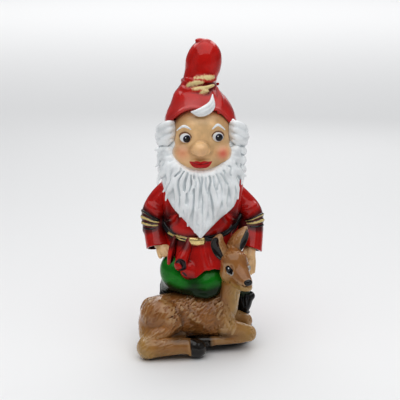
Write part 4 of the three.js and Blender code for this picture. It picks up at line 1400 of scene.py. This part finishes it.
def make_fawn_head():
    clay = Clay([18, -104, 52], [84, -16, 160], 0.8)
    clay.add(rope([[36, -40, 58, 18], [41, -43, 80, 16], [44.5, -48, 102, 16], [47, -52, 120, 17]], 6))
    clay.add(ball([49, -57, 130], [20, 22, 21]), 5)
    clay.add(ball([47, -62, 137], [17.5, 17, 16.5]), 5)
    clay.add(ball([40, -63, 119], [12.5, 14, 13]), 6)
    clay.add(rope([[52, -67, 125, 16], [58.5, -79, 118, 12.5], [64, -87, 114, 9]]), 5)
    clay.add(ball([45, -48, 149], [11, 11, 11]), 6)
    clay.add(ball([66, -92, 115.5], [6.2, 5, 5]), 2)
    clay.add(rope([[50, -74, 110, 8], [60, -84, 107.5, 7], [67, -88, 107, 5.6]]), 2.5)
    clay.cut(rope([[*place, radius] for place, radius in zip(FAWN_MOUTH, (0.4, 1.2, 1.3, 1))]), 1.2)
    clay.cut(rope([[63.2, -97.5, 114.8, 1.4], [61.8, -96.4, 116.4, 1.0]]), 1)
    clay.cut(rope([[69, -97, 115, 1.4], [70.6, -95.6, 116.6, 1.0]]), 1)
    ex, ey, ez = FAWN_EYE
    clay.cut(ball([ex - 1, ey - 5, ez], [6, 7.5, 8.5], (0, FAWN_EYE_TURN, 0)), 2)
    clay.add(ball([ex + 0.6, ey + 2.4, ez], [4.9, 6, 6.4], (0, FAWN_EYE_TURN, 0)), 0.4)
    upper_lid = [[-6, 2, 6, 1], [-0.5, -2, 8.4, 1.7], [6, -4, 1, 1.2], [6.8, -4, -5, 0.8]]
    lower_lid = [[-6.4, 2, 3, 0.9], [-4.4, -1, -5, 1.4], [3.6, -4, -9, 1.1]]
    for lid in (upper_lid, lower_lid):
        clay.add(rope([[ex + x, ey + y, ez + z, radius] for x, y, z, radius in lid]), 2)
    clay.add(ball(FAWN_FAR_EYE, [3.6, 5.5, 5.5]), 1)
    comb(clay, 130, lambda x, y, z: z < 116, DOWN, 9, 0.7)
    comb(clay, 90, lambda x, y, z: (z > 128) & (y > -74), one_way(-0.1, 0.75, 0.5), 7, 0.7)

    def on_eye(grow, moved=(0.0, 0.0)):
        def edge(x, y, z):
            middle = (ex + moved[0], ez + moved[1])
            near = oval(x, z, middle, (4.1 + grow, 6.0 + grow), FAWN_EYE_TURN)
            far = away_from([[*FAWN_FAR_EYE, 4.6 + grow]] * 2, x, y, z)
            return np.minimum(np.maximum(near, y + 64), far)
        return edge

    def glint(x, y, z):
        return np.maximum(oval(x, z, (ex - 0.8, ez + 2.4), (1.0, 1.2)), y + 64)

    # painted reflection: a grey crescent on the lower edge of the eye
    def painted_eye_reflection(x, y, z):
        around = np.abs(on_eye(0.5)(x, y, z)) - 0.55
        return np.maximum(around, (z - ez + 2.2) - 0.25 * (x - ex))

    def nose(x, y, z):
        pad = oval(x, z, (66.5, 116), (6, 4.4)) + 3 * smooth_between(y, -93, -90)
        painted = zip([(54, -88, 113), *FAWN_MOUTH[1:]], (0.1, 0.5, 0.6, 0.5))
        line = away_from([[*place, radius] for place, radius in painted], x, y, z)
        return np.minimum(pad, line)

    def ochre(x, y, z):
        throat = smooth_between(z, 118, 96) * smooth_between(x, 30, 52)
        chin = smooth_between(z, 113, 107) * (y < -70)
        cheek = np.exp(-((x - 34) ** 2 + (z - 112) ** 2) / 120) * 0.5
        return strongest([0.8 * throat, chin * 0.85, cheek], 0.9)

    def dark(x, y, z):
        # painted shade: the back of the head and neck darker, low down
        return smooth_between(x, 34, 28) * smooth_between(z, 120, 84) * 0.5

    paint = fawn_paint("fawn_head_paint")
    # painted reflection: grey on the lower edge of the eye
    paint.over(paint.edge("rim", 0.5, 0.3), (0.42, 0.42, 0.40))
    paint.over(paint.edge("eye", 0.3, 0.2), BLACK)
    paint.over(paint.edge("glint", 0.3, 0.0), (0.75, 0.78, 0.82))
    paint.over(paint.edge("nose", 0.4, 0.3), BLACK)
    layers = {
        "ochre": ochre, "dark": dark,
        "rim": painted_eye_reflection, "eye": on_eye(0.0), "glint": glint, "nose": nose,
    }
    piece("fawn_head_fur", clay, paint.done(), ["fawn_head"], layers)


def make_fawn_ear(word, outside, hollow):
    outside, hollow = np.array(outside, float), np.array(hollow, float)
    clay = Clay(outside[:, :3].min(0) - 11, outside[:, :3].max(0) + 9, 0.7)
    clay.add(rope(outside, 6))
    clay.cut(rope(hollow, 6), 1.2)
    comb(clay, 50, lambda x, y, z: z > outside[0, 2], one_way(0.1, -0.1, 1), 6, 0.6)
    core = smooth_path(hollow, 4)

    def dark(x, y, z):
        return smooth_between(away_from(core, x, y, z), 1.6, 0.2)

    paint = fawn_paint("fawn_ear_paint_" + word)
    layers = {"ochre": lambda x, y, z: 0 * x, "dark": dark}
    piece("fawn_ear_fur_" + word, clay, paint.done(), ["fawn_ear_" + word], layers)


def make_fawn_tail():
    clay = Clay([-92, -30, 26], [-56, -2, 74], 0.8)
    clay.add(rope([[-66, -18, 63, 7], [-76, -14, 57, 8], [-81, -12, 46, 7], [-81, -11, 34, 2.5]], 6))
    comb(clay, 60, lambda x, y, z: x < -64, DOWN, 8, 0.9)
    paint = fawn_paint("fawn_tail_paint")
    layers = {"ochre": lambda x, y, z: 0.7 * smooth_between(z, 48, 34), "dark": lambda x, y, z: 0 * x}
    piece("fawn_tail_fur", clay, paint.done(), ["fawn_tail"], layers)


# ---- Base ----------------------------------------------------------------------------------

LATTICE = RANDOM.uniform(-1, 1, (16, 16, 16))


def uneven(x, y, z, size):
    """Smooth random lumps between -1 and 1, about size apart."""
    places = [axis / size for axis in (x, y, z)]
    corners = [np.floor(place).astype(int) for place in places]
    shares = [place - corner for place, corner in zip(places, corners)]
    shares = [share * share * (3 - 2 * share) for share in shares]
    total = 0
    for step in np.ndindex(2, 2, 2):
        weights = [share if up else 1 - share for share, up in zip(shares, step)]
        at = tuple((corner + up) % 16 for corner, up in zip(corners, step))
        total = total + weights[0] * weights[1] * weights[2] * LATTICE[at]
    return total


def rounded(a, b):
    """The distance from a corner between two faces, from the distances to the faces."""
    return np.hypot(np.maximum(a, 0), np.maximum(b, 0)) + np.minimum(np.maximum(a, b), 0)


def slab(low, high, turn, edge):
    """A level block with corners of radius turn and edges rounded by edge."""
    low, high = np.array(low, float), np.array(high, float)
    middle, half = (low + high) / 2, (high - low) / 2

    def distance(x, y, z):
        out_x = np.abs(x - middle[0])[:, None, None] - half[0] + turn
        out_y = np.abs(y - middle[1])[None, :, None] - half[1] + turn
        out_z = (np.abs(z - middle[2]) - half[2])[None, None, :] + edge
        return rounded(rounded(out_x, out_y) - turn + edge, out_z) - edge

    return low, high, distance


GROUND_FOOT = 4.35  # the height of the ground's underside, just above the closing plate
GROUND_LOW, GROUND_HIGH, GROUND_TURN = (-78, -42, GROUND_FOOT), (78, 74, 11), 40
SEAT = [
    [GROUND_FOOT, 3, 24, 54, 46],
    [30, 3, 22, 50, 42],
    [60, 3, 20, 44, 36],
    [84, 3, 18, 32, 26],
]
PLATE_THICKNESS, PLATE_INSET = 4, 5
BUNG_PLACE = (0, 22)


def make_ground():
    clay = Clay([-80, -46, 4], [80, 78, 88], 1.2)
    clay.add(slab(GROUND_LOW, GROUND_HIGH, GROUND_TURN, 2.5))
    clay.add(stack(SEAT), 7)
    x, y, z = clay.grid()
    rock = 2.2 * np.abs(uneven(x, y, z, 17)) + 1.2 * np.abs(uneven(x + 40, y, z + 9, 8))
    rock = rock + 0.5 * uneven(x, y + 5, z, 3.5)
    clay.raise_by((1.2 - rock) * smooth_between(z, 5, 9))
    clay.cut(half_space([0, 0, GROUND_FOOT], [0, 0, 1]))
    paint = Paint("ground_paint", BLACK, roughness=0.28)
    paint.ridges((0.05, 0.05, 0.055), 0.7, 0.1, 0.7)
    paint.bump(paint.noise(90, 5), 0.3, 1.0)
    piece("ground_black", clay, paint.done(), ["ground"])


def round_stack(*rows):
    """A solid of level circles on the bung's axis, through rows of z and radius."""
    return stack([[z, *BUNG_PLACE, radius, radius] for z, radius in rows])


def make_closing_plate():
    low = [GROUND_LOW[0] + PLATE_INSET, GROUND_LOW[1] + PLATE_INSET, 0]
    high = [GROUND_HIGH[0] - PLATE_INSET, GROUND_HIGH[1] - PLATE_INSET, PLATE_THICKNESS]
    clay = Clay([low[0], low[1], -1], [high[0], high[1], 5], 0.9)
    clay.add(slab(low, high, GROUND_TURN - PLATE_INSET, 0.8))
    clay.cut(round_stack((-3, 17.3), (2.5, 17.3)), 0.4)
    clay.cut(round_stack((-3, 13.3), (8, 13.3)), 0.4)
    paint = Paint("plate_plastic", (0.035, 0.035, 0.037), roughness=0.5, coat=0.0)
    paint.ridges((0.16, 0.16, 0.16), 0.6, 0.15, 0.8)
    paint.bump(paint.noise(300, 3), 0.3, 0.3)
    piece("closing_plate_plastic", clay, paint.done(), ["closing_plate"])


def make_bung():
    x, y = BUNG_PLACE
    clay = Clay([x - 19, y - 19, 0], [x + 19, y + 19, 13], 0.5)
    clay.add(round_stack((0.6, 16.2), (1.0, 17), (1.8, 17), (2.2, 16.4)))
    clay.add(round_stack((1, 13), (6, 12.8), (10, 13), (12, 12)), 0.6)
    clay.cut(round_stack((2.3, 10.6), (14, 10.9)), 0.5)
    groove = [[x + 13.6 * math.cos(turn), y + 13.6 * math.sin(turn), 0.5, 0.7]
              for turn in np.linspace(0, 2 * math.pi, 25)]
    clay.cut(rope(groove, 2), 0.4)
    clay.cut(rope([[x - 7, y, 0.4, 1.1], [x + 7, y, 0.4, 1.1]]), 0.4)
    paint = Paint("bung_rubber", (0.02, 0.02, 0.021), roughness=0.6, coat=0.0)
    paint.ridges((0.09, 0.09, 0.09), 0.6, 0.15, 0.8)
    paint.bump(paint.noise(300, 3), 0.3, 0.3)
    piece("bung_rubber", clay, paint.done(), ["filler_bung"], body="bung")


# ---- Studio --------------------------------------------------------------------------------

CAMERA_DISTANCE = 1540
CAMERA_RISE = 14  # degrees above the level
AIM_HEIGHT = 210
FOCAL = 96.03
SENSOR = 36
FLOOR_HALF = 30  # in metres
FLOOR_DROP = 0.0005  # in metres, so that the floor and the underside do not coincide


def metres(x, y, z):
    """A point in units as a point in the row frame."""
    return Vector(ORIGIN) + Vector((x, y, z)) * UNIT


def add_camera():
    data = bpy.data.cameras.new("camera")
    data.lens, data.sensor_width = FOCAL, SENSOR
    camera = bpy.data.objects.new("camera", data)
    bpy.context.collection.objects.link(camera)
    rise = math.radians(CAMERA_RISE)
    target = metres(0, 0, AIM_HEIGHT)
    back = Vector((0, -math.cos(rise), math.sin(rise)))
    camera.location = target + back * CAMERA_DISTANCE * UNIT
    camera.rotation_euler = (-back).to_track_quat("-Z", "Y").to_euler()
    bpy.context.scene.camera = camera


def add_light(name, place, aim, size, power):
    data = bpy.data.lights.new(name, "AREA")
    data.shape = "RECTANGLE"
    data.size, data.size_y = (side * UNIT for side in size)
    data.energy = power
    light = bpy.data.objects.new(name, data)
    bpy.context.collection.objects.link(light)
    light.location = metres(*place)
    light.rotation_euler = (metres(*aim) - light.location).to_track_quat("-Z", "Y").to_euler()


def add_floor():
    mesh = bpy.data.meshes.new("floor")
    corners = [(x * FLOOR_HALF, y * FLOOR_HALF, 0) for x, y in ((-1, -1), (1, -1), (1, 1), (-1, 1))]
    mesh.from_pydata(corners, [], [(0, 1, 2, 3)])
    floor = bpy.data.objects.new("floor", mesh)
    bpy.context.collection.objects.link(floor)
    floor.location.z = REST_LOW.z - FLOOR_DROP
    material = bpy.data.materials.new("floor")
    material.use_nodes = True
    shader = material.node_tree.nodes["Principled BSDF"]
    shader.inputs["Base Color"].default_value = (0.82, 0.82, 0.82, 1)
    shader.inputs["Roughness"].default_value = 0.9
    shader.inputs["Specular IOR Level"].default_value = 0.1
    mesh.materials.append(material)


def add_world():
    world = bpy.data.worlds.new("studio")
    world.use_nodes = True
    back = world.node_tree.nodes["Background"]
    back.inputs["Color"].default_value = (0.92, 0.95, 1.0, 1)
    back.inputs["Strength"].default_value = 0.18
    bpy.context.scene.world = world


def make_studio():
    add_camera()
    add_floor()
    add_world()
    add_light("overhead", (0, -560, 1500), (0, -300, 0), (2300, 2200), 20)
    add_light("left_window", (-1500, -900, 700), (0, 0, 220), (1300, 1300), 0.9)
    add_light("right_fill", (1500, -700, 500), (0, 0, 200), (1300, 1300), 0.9)
    add_light("back_fill", (300, 1600, 900), (0, 0, 220), (1200, 900), 2)
    add_light("backdrop", (0, 7000, 5000), (0, 7000, 0), (11000, 9000), 480)
    bpy.context.scene.view_settings.view_transform = "Standard"
    bpy.context.scene.view_settings.look = "Medium High Contrast"


make_head()
make_hat()
make_forelock()
make_hair(-1, "right")
make_hair(1, "left")
make_beard()
make_tunic()
make_belt()
make_buckle()
make_skirt()
for word in ("right", "left"):
    make_sleeve(word)
    make_armband(word)
    make_hand(word)
make_trousers()
make_boot_right()
make_boot_left()
make_fawn_body()
make_hind_leg()
make_foreleg_near()
make_foreleg_far()
make_fawn_head()
make_fawn_ear(
    "right",
    [[36, -56, 140, 7], [29, -55, 150, 10.5], [25, -54, 160, 10], [27, -53, 168, 6], [29, -52, 171, 3]],
    [[31, -62, 139, 3], [23.5, -62, 148, 7.4], [19, -61, 158, 7.6], [21, -60, 166, 4.6]],
)
make_fawn_ear(
    "left",
    [[46, -45, 149, 11], [53, -44, 160, 12], [59, -43, 169, 10], [63, -42, 177, 5], [65, -41, 180, 2.5]],
    [[60, -55, 150, 4], [64, -52, 160, 7.4], [67.5, -50, 168, 7], [69, -48, 176, 4]],
)
make_fawn_tail()
make_ground()
make_closing_plate()
make_bung()
make_studio()
